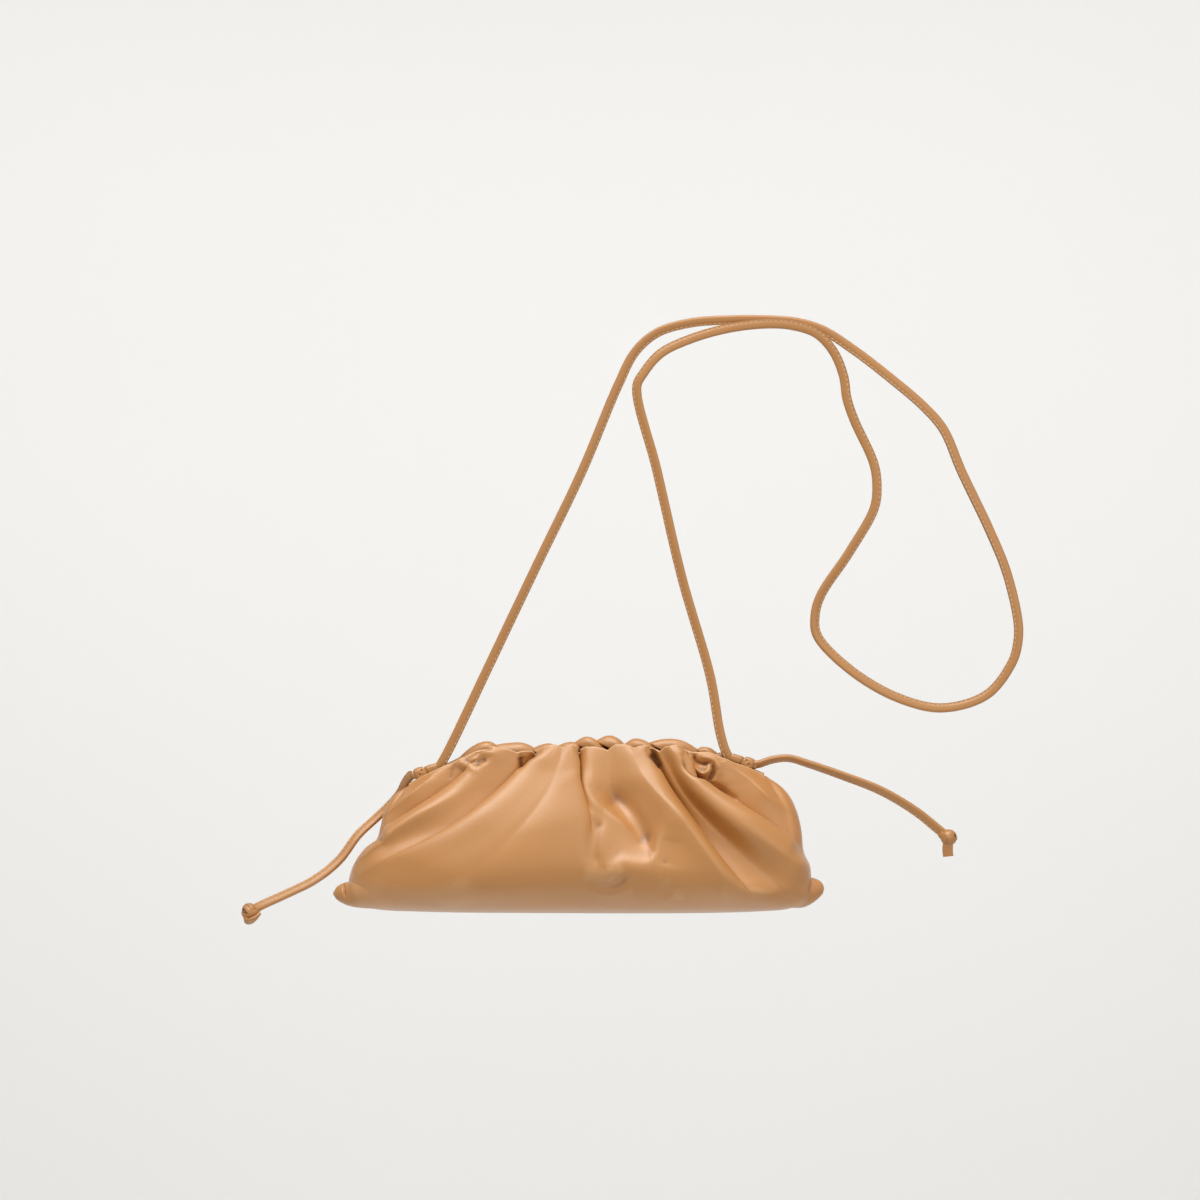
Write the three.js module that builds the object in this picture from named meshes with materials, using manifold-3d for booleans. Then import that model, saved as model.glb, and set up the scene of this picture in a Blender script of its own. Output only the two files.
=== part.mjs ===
// Crossbody pouch bag of soft leather, hanging by its long narrow strap.
// Millimetres, +Z up, front of the bag towards -Y. The origin is the point where the strap is gripped.
//
// The pouch is two leather panels sewn together along their sides and base, with the lips of an open mouth
// gathered at the top. Folds run from the gathers down to the sides and the base. A pinched corner stands
// out at each end of the base. The strap is one folded and stitched lace: each end is knotted at an end of
// the mouth and runs on as a short tail with a knot at its end.

import * as THREE from 'three';
import Module from 'manifold-3d';
import { mergeVertices } from 'three/addons/utils/BufferGeometryUtils.js';

const wasm = await Module();
wasm.setup();

// The pouch
const BODY_WIDTH = 220; // over both pinched corners
const BODY_HEIGHT = 79; // base to the top of the back lip
const BODY_DEPTH = 56; // front bulge to back bulge
const BODY_SHIFT = -22.2; // middle of the pouch from the grip, along X
const BODY_DROP = 237.5; // base of the pouch below the grip
const PANEL_WALL = 2; // soft leather with its backing
const MOUTH_GAP = 6; // slit between the two lips
const MOUTH_CLOSING = 24; // length over which the slit narrows at each end
const SEAM_GAP = 0.3; // between the two panels along their seam

// The pinched corners
const CORNER_THICKNESS = 9;
const CORNER_END_SHARE = 0.4; // of the thickness, at the upper and lower end
const CORNER_EDGE_TURN = 0.94; // how far the round outer edge closes, as a share of a quarter turn
const CORNER_LEAST_REACH = 0.5;
const CORNER_GAP = 0.35;

// The strap and its knots
const STRAP_WIDTH = 4.2;
const STRAP_THICKNESS = 2.4;
const STRAP_KNOT_LENGTH = 13;
const STRAP_KNOT_HEIGHT = 5.4;
const STRAP_KNOT_DEPTH = 5;
const END_KNOT_LENGTH = 9.2;
const END_KNOT_HEIGHT = 7;
const END_KNOT_DEPTH = 6.4;
const END_STUB_LENGTH = 5; // cut end of the lace that stands out of the right end knot
const KNOT_GAP = 0.3; // between a knot and what it touches

// How finely the surfaces are divided
const FRONT_STEPS = 4; // columns between two neighbouring folds
const BACK_STEPS = 3;
const ROUND_ROWS = 6; // rows in the rounded part next to the seam
const FRONT_ROWS = 12; // rows from there to the lip
const BACK_ROWS = 7;
const CORNER_COLUMNS = 8;
const CORNER_ROWS = 5;
const STRAP_STEPS = 80;
const TAIL_STEPS = 10;
const LACE_SIDES = 8;
const RING_SIDES = 12; // round a strap knot, a wrap and the core of an end knot
const BAND_SIDES = 6; // of a wrap's own section
const CORE_ROWS = 8;
const EVENING_PASSES = 2; // of the directions that point out of a face
const EVENING_WEIGHT = 2; // of a direction itself against each neighbour
const MERGE_DISTANCE = 0.0001;

// Outline of the panels, from the left end of the mouth round the base to the right end.
// across: share of half the width from the middle. up: share of the height from the base.
const OUTLINE = [
  { across: -0.705, up: 0.712 },
  { across: -0.756, up: 0.661 },
  { across: -0.79, up: 0.58 },
  { across: -0.806, up: 0.49 },
  { across: -0.822, up: 0.42 },
  { across: -0.868, up: 0.37 },
  { across: -0.914, up: 0.28 },
  { across: -0.934, up: 0.19 },
  { across: -0.935, up: 0.12 },
  { across: -0.91, up: 0.06 },
  { across: -0.84, up: 0.026 },
  { across: -0.642, up: 0.008 },
  { across: -0.088, up: 0 },
  { across: 0.462, up: 0 },
  { across: 0.74, up: 0.01 },
  { across: 0.86, up: 0.026 },
  { across: 0.93, up: 0.07 },
  { across: 0.945, up: 0.15 },
  { across: 0.945, up: 0.26 },
  { across: 0.918, up: 0.35 },
  { across: 0.91, up: 0.458 },
  { across: 0.894, up: 0.56 },
  { across: 0.862, up: 0.66 },
  { across: 0.82, up: 0.725 },
  { across: 0.772, up: 0.769 },
];

// Folds of the two panels from left to right, each a ridge or a crease that runs from the lip to the seam.
// lip, upper, middle, low: [across, up, out], where out is a share of half the depth, and at the lip counts
// from the wall of the slit. seam: [across, up], where the fold meets the outline. before, after: how sharp
// the leather turns into it from its left and right neighbours, from 0, smooth, to 1, a crease.
const FRONT_FOLDS = [
  { name: 'left end', before: 0, after: 0, lip: [-0.69, 0.723, 0.0], upper: [-0.693, 0.721, 0.075],
    middle: [-0.696, 0.719, 0.07], low: [-0.7, 0.716, 0.06], seam: [-0.705, 0.712] },
  { name: 'left shoulder', before: 0, after: 0, lip: [-0.58, 0.803, 0.03], upper: [-0.65, 0.728, 0.31],
    middle: [-0.705, 0.655, 0.38], low: [-0.75, 0.598, 0.31], seam: [-0.797, 0.55] },
  { name: 'left side crease', before: 0.8, after: 0.8, lip: [-0.442, 0.879, 0.0], upper: [-0.575, 0.66, 0.2],
    middle: [-0.69, 0.55, 0.27], low: [-0.762, 0.482, 0.24], seam: [-0.818, 0.43] },
  { name: 'left side ridge', before: 0, after: 0, lip: [-0.332, 0.919, 0.11], upper: [-0.434, 0.72, 0.47],
    middle: [-0.625, 0.56, 0.64], low: [-0.812, 0.39, 0.56], seam: [-0.912, 0.284] },
  { name: 'left long crease', before: 0.7, after: 0.8, lip: [-0.185, 0.925, 0.0], upper: [-0.267, 0.754, 0.3],
    middle: [-0.442, 0.535, 0.58], low: [-0.72, 0.3, 0.66], seam: [-0.936, 0.136] },
  { name: 'big left puff', before: 0, after: 0, lip: [-0.063, 0.942, 0.11], upper: [-0.12, 0.71, 0.63],
    middle: [-0.28, 0.44, 0.92], low: [-0.45, 0.2, 1.0], seam: [-0.52, 0.006] },
  { name: 'centre crease', before: 0.9, after: 0.8, lip: [0.002, 0.913, 0.0], upper: [0.002, 0.766, 0.4],
    middle: [0.03, 0.53, 0.68], low: [0.1, 0.235, 0.92], seam: [0.128, 0.0] },
  { name: 'small centre ridge', before: 0, after: 0, lip: [0.055, 0.93, 0.07], upper: [0.045, 0.8, 0.5],
    middle: [0.096, 0.482, 0.75], low: [0.193, 0.233, 0.92], seam: [0.24, 0.0] },
  { name: 'centre valley', before: 0.3, after: 0.2, lip: [0.11, 0.925, 0.05], upper: [0.1, 0.698, 0.43],
    middle: [0.215, 0.465, 0.68], low: [0.34, 0.25, 0.91], seam: [0.37, 0.0] },
  { name: 'right long ridge', before: 0, after: 0, lip: [0.2, 0.936, 0.1], upper: [0.283, 0.743, 0.6],
    middle: [0.413, 0.53, 0.84], low: [0.56, 0.24, 0.97], seam: [0.585, 0.0] },
  { name: 'right long crease', before: 0.9, after: 0.3, lip: [0.312, 0.913, 0.0], upper: [0.365, 0.698, 0.3],
    middle: [0.495, 0.442, 0.56], low: [0.67, 0.15, 0.78], seam: [0.756, 0.012] },
  { name: 'right trough', before: 0, after: 0, lip: [0.356, 0.928, 0.07], upper: [0.454, 0.65, 0.4],
    middle: [0.617, 0.403, 0.56], low: [0.81, 0.165, 0.6], seam: [0.92, 0.06] },
  { name: 'right side ridge', before: 0, after: 0, lip: [0.42, 0.925, 0.11], upper: [0.511, 0.692, 0.56],
    middle: [0.707, 0.5, 0.7], low: [0.85, 0.335, 0.6], seam: [0.945, 0.245] },
  { name: 'right side crease', before: 0.9, after: 0.6, lip: [0.511, 0.885, 0.0], upper: [0.548, 0.735, 0.22],
    middle: [0.747, 0.54, 0.33], low: [0.865, 0.42, 0.3], seam: [0.916, 0.37] },
  { name: 'right shoulder', before: 0, after: 0, lip: [0.629, 0.854, 0.03], upper: [0.7, 0.76, 0.31],
    middle: [0.775, 0.66, 0.4], low: [0.835, 0.595, 0.33], seam: [0.893, 0.565] },
  { name: 'right end', before: 0, after: 0, lip: [0.756, 0.782, 0.0], upper: [0.76, 0.779, 0.075],
    middle: [0.764, 0.776, 0.07], low: [0.768, 0.773, 0.06], seam: [0.772, 0.769] },
];
const BACK_FOLDS = [
  { name: 'left end', before: 0, after: 0, lip: [-0.69, 0.723, 0.0], upper: [-0.693, 0.721, 0.075],
    middle: [-0.696, 0.719, 0.07], low: [-0.7, 0.716, 0.06], seam: [-0.705, 0.712] },
  { name: 'left shoulder', before: 0, after: 0, lip: [-0.57, 0.825, 0.03], upper: [-0.645, 0.74, 0.31],
    middle: [-0.7, 0.66, 0.38], low: [-0.75, 0.6, 0.31], seam: [-0.797, 0.55] },
  { name: 'left side crease', before: 0.8, after: 0.8, lip: [-0.475, 0.9, 0.0], upper: [-0.56, 0.7, 0.24],
    middle: [-0.68, 0.57, 0.32], low: [-0.765, 0.47, 0.3], seam: [-0.818, 0.43] },
  { name: 'first petal', before: 0, after: 0, lip: [-0.39, 0.972, 0.11], upper: [-0.46, 0.76, 0.47],
    middle: [-0.61, 0.58, 0.64], low: [-0.8, 0.39, 0.58], seam: [-0.912, 0.284] },
  { name: 'first crease', before: 0.8, after: 0.8, lip: [-0.335, 0.95, 0.0], upper: [-0.37, 0.75, 0.34],
    middle: [-0.47, 0.52, 0.62], low: [-0.7, 0.28, 0.7], seam: [-0.936, 0.136] },
  { name: 'second petal', before: 0, after: 0, lip: [-0.26, 0.97, 0.11], upper: [-0.28, 0.75, 0.58],
    middle: [-0.36, 0.46, 0.86], low: [-0.48, 0.2, 0.98], seam: [-0.52, 0.006] },
  { name: 'second crease', before: 0.7, after: 0.7, lip: [-0.189, 0.945, 0.0], upper: [-0.2, 0.76, 0.44],
    middle: [-0.22, 0.5, 0.8], low: [-0.3, 0.22, 0.96], seam: [-0.32, 0.003] },
  { name: 'third petal', before: 0, after: 0, lip: [-0.11, 0.966, 0.11], upper: [-0.11, 0.74, 0.6],
    middle: [-0.12, 0.46, 0.89], low: [-0.15, 0.2, 1.0], seam: [-0.16, 0.0] },
  { name: 'third crease', before: 0.7, after: 0.7, lip: [-0.02, 0.955, 0.0], upper: [-0.02, 0.75, 0.44],
    middle: [-0.01, 0.5, 0.79], low: [0.0, 0.22, 0.97], seam: [0.0, 0.0] },
  { name: 'fourth petal', before: 0, after: 0, lip: [0.055, 0.99, 0.11], upper: [0.07, 0.75, 0.62],
    middle: [0.09, 0.46, 0.9], low: [0.12, 0.2, 1.0], seam: [0.13, 0.0] },
  { name: 'fourth crease', before: 0.8, after: 0.8, lip: [0.118, 0.968, 0.0], upper: [0.15, 0.75, 0.4],
    middle: [0.2, 0.5, 0.72], low: [0.27, 0.22, 0.94], seam: [0.29, 0.0] },
  { name: 'fifth petal', before: 0, after: 0, lip: [0.169, 0.99, 0.1], upper: [0.22, 0.75, 0.58],
    middle: [0.3, 0.46, 0.87], low: [0.38, 0.2, 0.98], seam: [0.4, 0.0] },
  { name: 'fifth crease', before: 0.6, after: 0.6, lip: [0.214, 0.965, 0.02], upper: [0.27, 0.75, 0.52],
    middle: [0.37, 0.47, 0.84], low: [0.47, 0.2, 0.96], seam: [0.49, 0.0] },
  { name: 'sixth petal', before: 0, after: 0, lip: [0.263, 0.985, 0.1], upper: [0.32, 0.75, 0.57],
    middle: [0.43, 0.47, 0.85], low: [0.55, 0.2, 0.94], seam: [0.57, 0.0] },
  { name: 'sixth crease', before: 0.8, after: 0.8, lip: [0.316, 0.955, 0.0], upper: [0.38, 0.74, 0.36],
    middle: [0.5, 0.48, 0.66], low: [0.64, 0.2, 0.84], seam: [0.68, 0.005] },
  { name: 'seventh petal', before: 0, after: 0, lip: [0.405, 0.979, 0.11], upper: [0.5, 0.74, 0.55],
    middle: [0.64, 0.48, 0.74], low: [0.8, 0.2, 0.7], seam: [0.92, 0.06] },
  { name: 'right side crease', before: 0.9, after: 0.7, lip: [0.5, 0.93, 0.0], upper: [0.59, 0.74, 0.28],
    middle: [0.73, 0.54, 0.4], low: [0.86, 0.38, 0.38], seam: [0.93, 0.31] },
  { name: 'right shoulder', before: 0, after: 0, lip: [0.61, 0.875, 0.03], upper: [0.7, 0.765, 0.31],
    middle: [0.775, 0.66, 0.4], low: [0.835, 0.595, 0.33], seam: [0.893, 0.565] },
  { name: 'right end', before: 0, after: 0, lip: [0.756, 0.782, 0.0], upper: [0.76, 0.779, 0.075],
    middle: [0.764, 0.776, 0.07], low: [0.768, 0.773, 0.06], seam: [0.772, 0.769] },
];

// Round dents and swellings of the front. wide, tall: shares of the height. out: share of half the depth.
const FRONT_DENTS = [
  { across: 0.19, up: 0.36, wide: 0.15, tall: 0.1, out: -0.13 },
  { across: 0.2, up: 0.245, wide: 0.17, tall: 0.055, out: 0.05 },
  { across: 0.36, up: 0.4, wide: 0.07, tall: 0.16, out: 0.05 },
  { across: 0.72, up: 0.13, wide: 0.14, tall: 0.07, out: 0.05 },
];

// The two pinched corners: outer edge from its upper end round to its lower end.
const LEFT_CORNER = [
  { across: -0.945, up: 0.181 },
  { across: -0.975, up: 0.166 },
  { across: -0.998, up: 0.125 },
  { across: -0.997, up: 0.085 },
  { across: -0.972, up: 0.055 },
  { across: -0.93, up: 0.036 },
];
const RIGHT_CORNER = [
  { across: 0.955, up: 0.2 },
  { across: 0.98, up: 0.19 },
  { across: 0.998, up: 0.155 },
  { across: 0.999, up: 0.118 },
  { across: 0.98, up: 0.078 },
  { across: 0.945, up: 0.05 },
];

// Where the strap's knots lie along the top edge of the shoulders, as shares of the pouch.
const STRAP_KNOTS = {
  left: { inner: { across: -0.562, up: 0.801 }, outer: { across: -0.672, up: 0.745 } },
  right: { inner: { across: 0.609, up: 0.853 }, outer: { across: 0.718, up: 0.802 } },
};
// Form of such a knot, from the strap's end to the tail's. along: share of the length. wide: share of the
// height. Two bands of the wrapped lace with a groove between them, and the tail's bight as a small nub.
const STRAP_KNOT_FORM = [
  { along: 0.0, wide: 0.0 },
  { along: 0.0, wide: 0.7 },
  { along: 0.04, wide: 0.8 },
  { along: 0.4, wide: 0.8 },
  { along: 0.44, wide: 0.7 },
  { along: 0.48, wide: 0.86 },
  { along: 0.53, wide: 1.0 },
  { along: 0.8, wide: 0.98 },
  { along: 0.86, wide: 0.84 },
  { along: 0.89, wide: 0.56 },
  { along: 0.97, wide: 0.5 },
  { along: 1.0, wide: 0.3 },
  { along: 1.0, wide: 0.0 },
];

// Route of the strap from the left knot to the right one, chosen by hand, as [x, y, z] from the grip.
const STRAP_ROUTE = [
  [-84.4, 0, -171.1],
  [-82.6, 0, -170.2],
  [-80.9, 0, -167.4],
  [-77.9, 0, -159.6],
  [-63.7, 0, -129.6],
  [-40.4, 0.3, -80.7],
  [-20.6, 0.8, -39.5],
  [-4.5, 1.6, -1.0],
  [3.2, 1.8, 14.0],
  [13.0, 1.8, 22.6],
  [27.5, 1.8, 27.0],
  [46.0, 1.8, 28.4],
  [63.0, 1.8, 28.4],
  [75.5, 1.8, 27.4],
  [87.0, 1.6, 24.0],
  [100.5, 1.3, 15.5],
  [118.2, 1.0, 1.9],
  [133.2, 0.8, -11.0],
  [141.5, 0.6, -20.8],
  [149.6, 0.5, -39.6],
  [162.2, 0.3, -66.1],
  [169.8, 0.2, -84.9],
  [174.9, 0, -107.5],
  [174.7, 0, -116.4],
  [172.2, 0, -125.1],
  [160.9, 0, -139.6],
  [140.8, 0, -145.6],
  [120.6, 0, -140.9],
  [99.3, -0.3, -128.3],
  [84.8, -0.5, -113.2],
  [83.7, -0.7, -105.0],
  [86.1, -0.8, -95.6],
  [99.3, -1.0, -75.5],
  [110.3, -1.2, -56.0],
  [111.5, -1.3, -45.9],
  [110.0, -1.4, -35.9],
  [101.2, -1.6, -16.4],
  [98.0, -1.7, -6.9],
  [96.5, -1.8, 3.1],
  [92.0, -1.8, 14.0],
  [84.5, -1.8, 22.0],
  [74.0, -1.8, 25.6],
  [63.0, -1.8, 26.4],
  [46.0, -1.8, 24.6],
  [28.0, -1.8, 19.6],
  [14.5, -1.8, 13.0],
  [6.8, -1.8, 4.0],
  [4.0, -1.6, -1.8],
  [12.9, -0.8, -38.6],
  [24.3, -0.3, -87.4],
  [36.9, 0, -131.4],
  [40.9, 0, -155.2],
  [42.0, 0, -162.6],
  [43.5, 0, -166.2],
  [45.1, 0, -167.0],
];
// Route of each tail from its strap knot to its end knot.
const LEFT_TAIL_ROUTE = [
  [-98.2, 1.6, -176.4],
  [-99.8, 4.2, -179.2],
  [-102.6, 8.6, -184.4],
  [-107.5, 12.2, -190.0],
  [-113.5, 11.6, -195.6],
  [-121.2, 8.0, -202.8],
  [-129.8, 4.4, -214.2],
  [-140.6, 1.6, -222.8],
  [-154.4, 0.4, -229.6],
  [-164.9, 0, -234.4],
];
const RIGHT_TAIL_ROUTE = [
  [58.9, 0, -171.2],
  [61.2, 0, -170.2],
  [65.2, 0, -168.6],
  [72.0, 0, -168.0],
  [81.1, 0, -170.6],
  [96.9, 0, -176.1],
  [113.4, 0, -182.6],
  [129.1, 0, -191.9],
  [139.9, 0, -200.6],
];
const LEFT_END_KNOT = { at: [-169.2, 0, -237.0], lean: -0.3 }; // lean: about Y, in radians
const RIGHT_END_KNOT = { at: [143.4, 0, -203.3], lean: 0.1 };

const HALF_WIDTH = BODY_WIDTH / 2;
const HALF_DEPTH = BODY_DEPTH / 2;
const QUARTER_TURN = Math.PI / 2;
const ROUND_POINTS = 3; // points that stand for the rounded part of a fold next to the seam
const ROUND_SHARE = ROUND_POINTS / (ROUND_POINTS + 3); // of a fold line's parameter
const SEAM_SAMPLES = 600;
// The creases fade towards the seam: by what share, from where on the fold lines, and over what length.
const FADE_SHARE = 0.75;
const FADE_START = ROUND_SHARE + 0.2;
const FADE_LENGTH = 0.3;

const LEATHER = { color: 0xc0894f, roughness: 0.48, metalness: 0 };
const LACE = { color: 0xb67f45, roughness: 0.52, metalness: 0 };

const mix = (a, b, share) => a + (b - a) * share;
const clamp = (value, low, high) => Math.min(high, Math.max(low, value));
const ease = (share) => {
  const s = clamp(share, 0, 1);
  return s * s * (3 - 2 * s);
};

// A point of the front view, given as shares of the pouch, from the middle of its base. y is the depth.
const place = (across, up, depth = 0) => new THREE.Vector3(across * HALF_WIDTH, depth, up * BODY_HEIGHT);

const lineThrough = (rows) => new THREE.CatmullRomCurve3(
  rows.map(({ across, up }) => place(across, up)), false, 'centripetal');

const seamLine = lineThrough(OUTLINE);
const seamSamples = seamLine.getSpacedPoints(SEAM_SAMPLES);

// Share of the seam's length at the place nearest to a given one.
function seamShare([across, up]) {
  const target = place(across, up);
  let best = 0;
  seamSamples.forEach((p, i) => {
    if (p.distanceTo(target) < seamSamples[best].distanceTo(target)) best = i;
  });
  return best / SEAM_SAMPLES;
}

// How far the slit is open at a place along the mouth, from 0 at its ends to 1.
function openness(across, folds) {
  const [left, right] = [folds[0].lip[0], folds[folds.length - 1].lip[0]];
  return ease((Math.min(across - left, right - across) * HALF_WIDTH) / MOUTH_CLOSING);
}

// A fold as a smooth line from the seam, round the edge of the pouch and up to the lip.
function foldLine(fold, folds) {
  const share = seamShare(fold.seam);
  const seam = seamLine.getPointAt(share);
  const [low, middle, upper] = [fold.low, fold.middle, fold.upper]
    .map(([across, up, out]) => place(across, up, out * HALF_DEPTH));
  const [across, up, out] = fold.lip;
  const lipDepth = PANEL_WALL + (MOUTH_GAP / 2) * openness(across, folds) + out * HALF_DEPTH;
  const points = [];
  for (let i = 0; i < ROUND_POINTS; i += 1) {
    const turn = (QUARTER_TURN * i) / ROUND_POINTS;
    const p = low.clone().lerp(seam, Math.cos(turn));
    p.y = low.y * Math.sin(turn);
    points.push(p);
  }
  points.push(low, middle, upper, place(across, up, lipDepth));
  return { ...fold, share, curve: new THREE.CatmullRomCurve3(points, false, 'centripetal') };
}

// Where the leather lies between two neighbouring folds, at share u of the way and height t of the lines.
// It turns into a sharp fold on a round arc, and runs smoothly over a ridge.
function between(a, b, u, t) {
  const [p, q] = [a.curve.getPoint(t), b.curve.getPoint(t)];
  const fade = 1 - FADE_SHARE * ease((FADE_START - t) / FADE_LENGTH);
  const [start, end] = [a.after * fade, b.before * fade];
  const turn = QUARTER_TURN * u;
  const [rising, settling] = [1 - Math.cos(turn), Math.sin(turn)];
  const along = u + end * (settling - u) + start * (rising - u);
  const deep = ease(u) + end * (rising - ease(u)) + start * (settling - ease(u));
  const point = p.clone().lerp(q, along);
  point.y = mix(p.y, q.y, deep);
  const corner = Math.cos(QUARTER_TURN * Math.min(1, t / ROUND_SHARE));
  const chord = a.curve.getPoint(0).lerp(b.curve.getPoint(0), along);
  return point.addScaledVector(seamLine.getPointAt(mix(a.share, b.share, along)).sub(chord), corner);
}

const dentsAt = (dents, p) => dents.reduce((sum, { across, up, wide, tall, out }) => {
  const [dx, dz] = [p.x - across * HALF_WIDTH, p.z - up * BODY_HEIGHT].map((d) => d / BODY_HEIGHT);
  return sum + out * HALF_DEPTH * Math.exp(-((dx / wide) ** 2) - (dz / tall) ** 2);
}, 0);

// The outer face of a panel as columns of points, each from the seam to the lip. Its depth is along +Y.
function outerFace({ folds, dents, steps, rows }) {
  const lines = folds.map((fold) => foldLine(fold, folds));
  const heights = [];
  for (let j = 0; j <= ROUND_ROWS; j += 1) heights.push((ROUND_SHARE * j) / ROUND_ROWS);
  for (let j = 1; j <= rows; j += 1) heights.push(mix(ROUND_SHARE, 1, j / rows));
  const face = [];
  for (let i = 0; i + 1 < lines.length; i += 1) {
    for (let k = i === 0 ? 0 : 1; k <= steps; k += 1) {
      face.push(heights.map((t) => {
        const p = between(lines[i], lines[i + 1], k / steps, t);
        p.y += dentsAt(dents, p) * ease(t / ROUND_SHARE);
        p.y = Math.max(p.y, 0) + SEAM_GAP / 2;
        return p;
      }));
    }
  }
  return face;
}

// Directions that point out of a face at each of its points, evened out over the neighbours.
function outwards(face) {
  const [columns, rows] = [face.length - 1, face[0].length - 1];
  const at = (grid, i, j) => grid[clamp(i, 0, columns)][clamp(j, 0, rows)];
  let normals = face.map((column, i) => column.map((p, j) => {
    const across = at(face, i + 1, j).clone().sub(at(face, i - 1, j));
    const upwards = at(face, i, j + 1).clone().sub(at(face, i, j - 1));
    return upwards.cross(across).normalize();
  }));
  for (let pass = 0; pass < EVENING_PASSES; pass += 1) {
    normals = normals.map((column, i) => column.map((n, j) => {
      const sum = n.clone().multiplyScalar(EVENING_WEIGHT);
      for (const [di, dj] of [[1, 0], [-1, 0], [0, 1], [0, -1]]) sum.add(at(normals, i + di, j + dj));
      return sum.normalize();
    }));
  }
  normals.forEach((column) => column[0].setY(0).normalize());
  return normals;
}

// Closes an outer and an inner face of the same size into one body.
function closedBody(outer, inner, turned) {
  const [columns, rows] = [outer.length - 1, outer[0].length - 1];
  const positions = [outer, inner].flatMap((face) => face.flatMap((column) => column.flatMap(
    (p) => [p.x, turned ? -p.y : p.y, p.z])));
  const triangles = [];
  const quad = (a, b, c, d) => triangles.push(...(turned ? [a, c, b, a, d, c] : [a, b, c, a, c, d]));
  const out = (i, j) => i * (rows + 1) + j;
  const inn = (i, j) => (columns + 1) * (rows + 1) + out(i, j);
  for (let i = 0; i < columns; i += 1) {
    for (let j = 0; j < rows; j += 1) {
      quad(out(i, j), out(i, j + 1), out(i + 1, j + 1), out(i + 1, j));
      quad(inn(i, j), inn(i + 1, j), inn(i + 1, j + 1), inn(i, j + 1));
    }
    quad(out(i, 0), out(i + 1, 0), inn(i + 1, 0), inn(i, 0));
    quad(out(i, rows), inn(i, rows), inn(i + 1, rows), out(i + 1, rows));
  }
  for (let j = 0; j < rows; j += 1) {
    quad(out(0, j), inn(0, j), inn(0, j + 1), out(0, j + 1));
    quad(out(columns, j), out(columns, j + 1), inn(columns, j + 1), inn(columns, j));
  }
  const geometry = new THREE.BufferGeometry();
  geometry.setAttribute('position', new THREE.Float32BufferAttribute(positions, 3));
  geometry.setIndex(triangles);
  return geometry;
}

function panel(form, isFront) {
  const outer = outerFace(form);
  const normals = outwards(outer);
  const inner = outer.map((column, i) => column.map((p, j) => {
    const q = p.clone().addScaledVector(normals[i][j], -PANEL_WALL);
    q.y = Math.max(q.y, SEAM_GAP / 2);
    return q;
  }));
  return closedBody(outer, inner, isFront);
}

// A pinched corner fills the space between the panels' outline and its own outer edge.
function pinchedCorner(edgeRows) {
  const edge = lineThrough(edgeRows);
  const side = Math.sign(edgeRows[0].across);
  const nearSide = seamSamples.filter((p) => p.x * side > HALF_WIDTH / 2 && p.z < BODY_HEIGHT / 2);
  const faces = [1, -1].map((towards) => {
    const columns = [];
    for (let i = 0; i <= CORNER_COLUMNS; i += 1) {
      const share = i / CORNER_COLUMNS;
      const out = edge.getPoint(share);
      const seam = nearSide.reduce((a, b) => (Math.abs(b.z - out.z) < Math.abs(a.z - out.z) ? b : a));
      const start = seam.x + side * CORNER_GAP;
      const end = Math.max(out.x * side, start * side + CORNER_LEAST_REACH) * side;
      const thick = (CORNER_THICKNESS / 2) * mix(CORNER_END_SHARE, 1, Math.sin(Math.PI * share));
      const column = [];
      for (let j = 0; j <= CORNER_ROWS; j += 1) {
        const turn = (CORNER_EDGE_TURN * QUARTER_TURN * j) / CORNER_ROWS;
        const x = mix(start, end, Math.sin(turn));
        column.push(new THREE.Vector3(x, towards * thick * Math.cos(turn), out.z));
      }
      columns.push(column);
    }
    return side < 0 ? columns.reverse() : columns;
  });
  return closedBody(faces[0], faces[1], false);
}

// Flat oval section of the lace: thickness along X of the section, width along Y.
function laceSection() {
  const corners = [];
  for (let i = 0; i < LACE_SIDES; i += 1) {
    const angle = (2 * Math.PI * (i + 0.5)) / LACE_SIDES;
    corners.push(new THREE.Vector2(
      (STRAP_THICKNESS / 2) * (Math.cos(angle) / Math.cos(Math.PI / LACE_SIDES)),
      (STRAP_WIDTH / 2) * (Math.sin(angle) / Math.cos(Math.PI / LACE_SIDES)),
    ));
  }
  return new THREE.Shape(corners);
}

function lace(route, steps) {
  const path = new THREE.CatmullRomCurve3(route.map((p) => new THREE.Vector3(...p)), false, 'centripetal');
  return new THREE.ExtrudeGeometry(laceSection(), { steps, extrudePath: path, bevelEnabled: false });
}

function solidOf(geometry) {
  const bare = geometry.clone();
  bare.deleteAttribute('normal');
  bare.deleteAttribute('uv');
  const merged = mergeVertices(bare, MERGE_DISTANCE);
  return new wasm.Manifold(new wasm.Mesh({
    numProp: 3,
    vertProperties: new Float32Array(merged.attributes.position.array),
    triVerts: new Uint32Array(merged.index.array),
  }));
}

function geometryOf(solid) {
  const mesh = solid.getMesh();
  const geometry = new THREE.BufferGeometry();
  geometry.setAttribute('position', new THREE.BufferAttribute(new Float32Array(mesh.vertProperties), 3));
  geometry.setIndex(new THREE.BufferAttribute(new Uint32Array(mesh.triVerts), 1));
  return geometry;
}

// A knot of the strap, along +X from its inner end.
function strapKnot() {
  const profile = STRAP_KNOT_FORM.map(({ along, wide }) => new THREE.Vector2(
    (wide * STRAP_KNOT_HEIGHT) / 2, along * STRAP_KNOT_LENGTH));
  const body = new THREE.LatheGeometry(profile, RING_SIDES);
  body.rotateZ(-QUARTER_TURN);
  body.rotateX(QUARTER_TURN);
  body.scale(1, STRAP_KNOT_DEPTH / STRAP_KNOT_HEIGHT, 1);
  return body;
}

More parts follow.
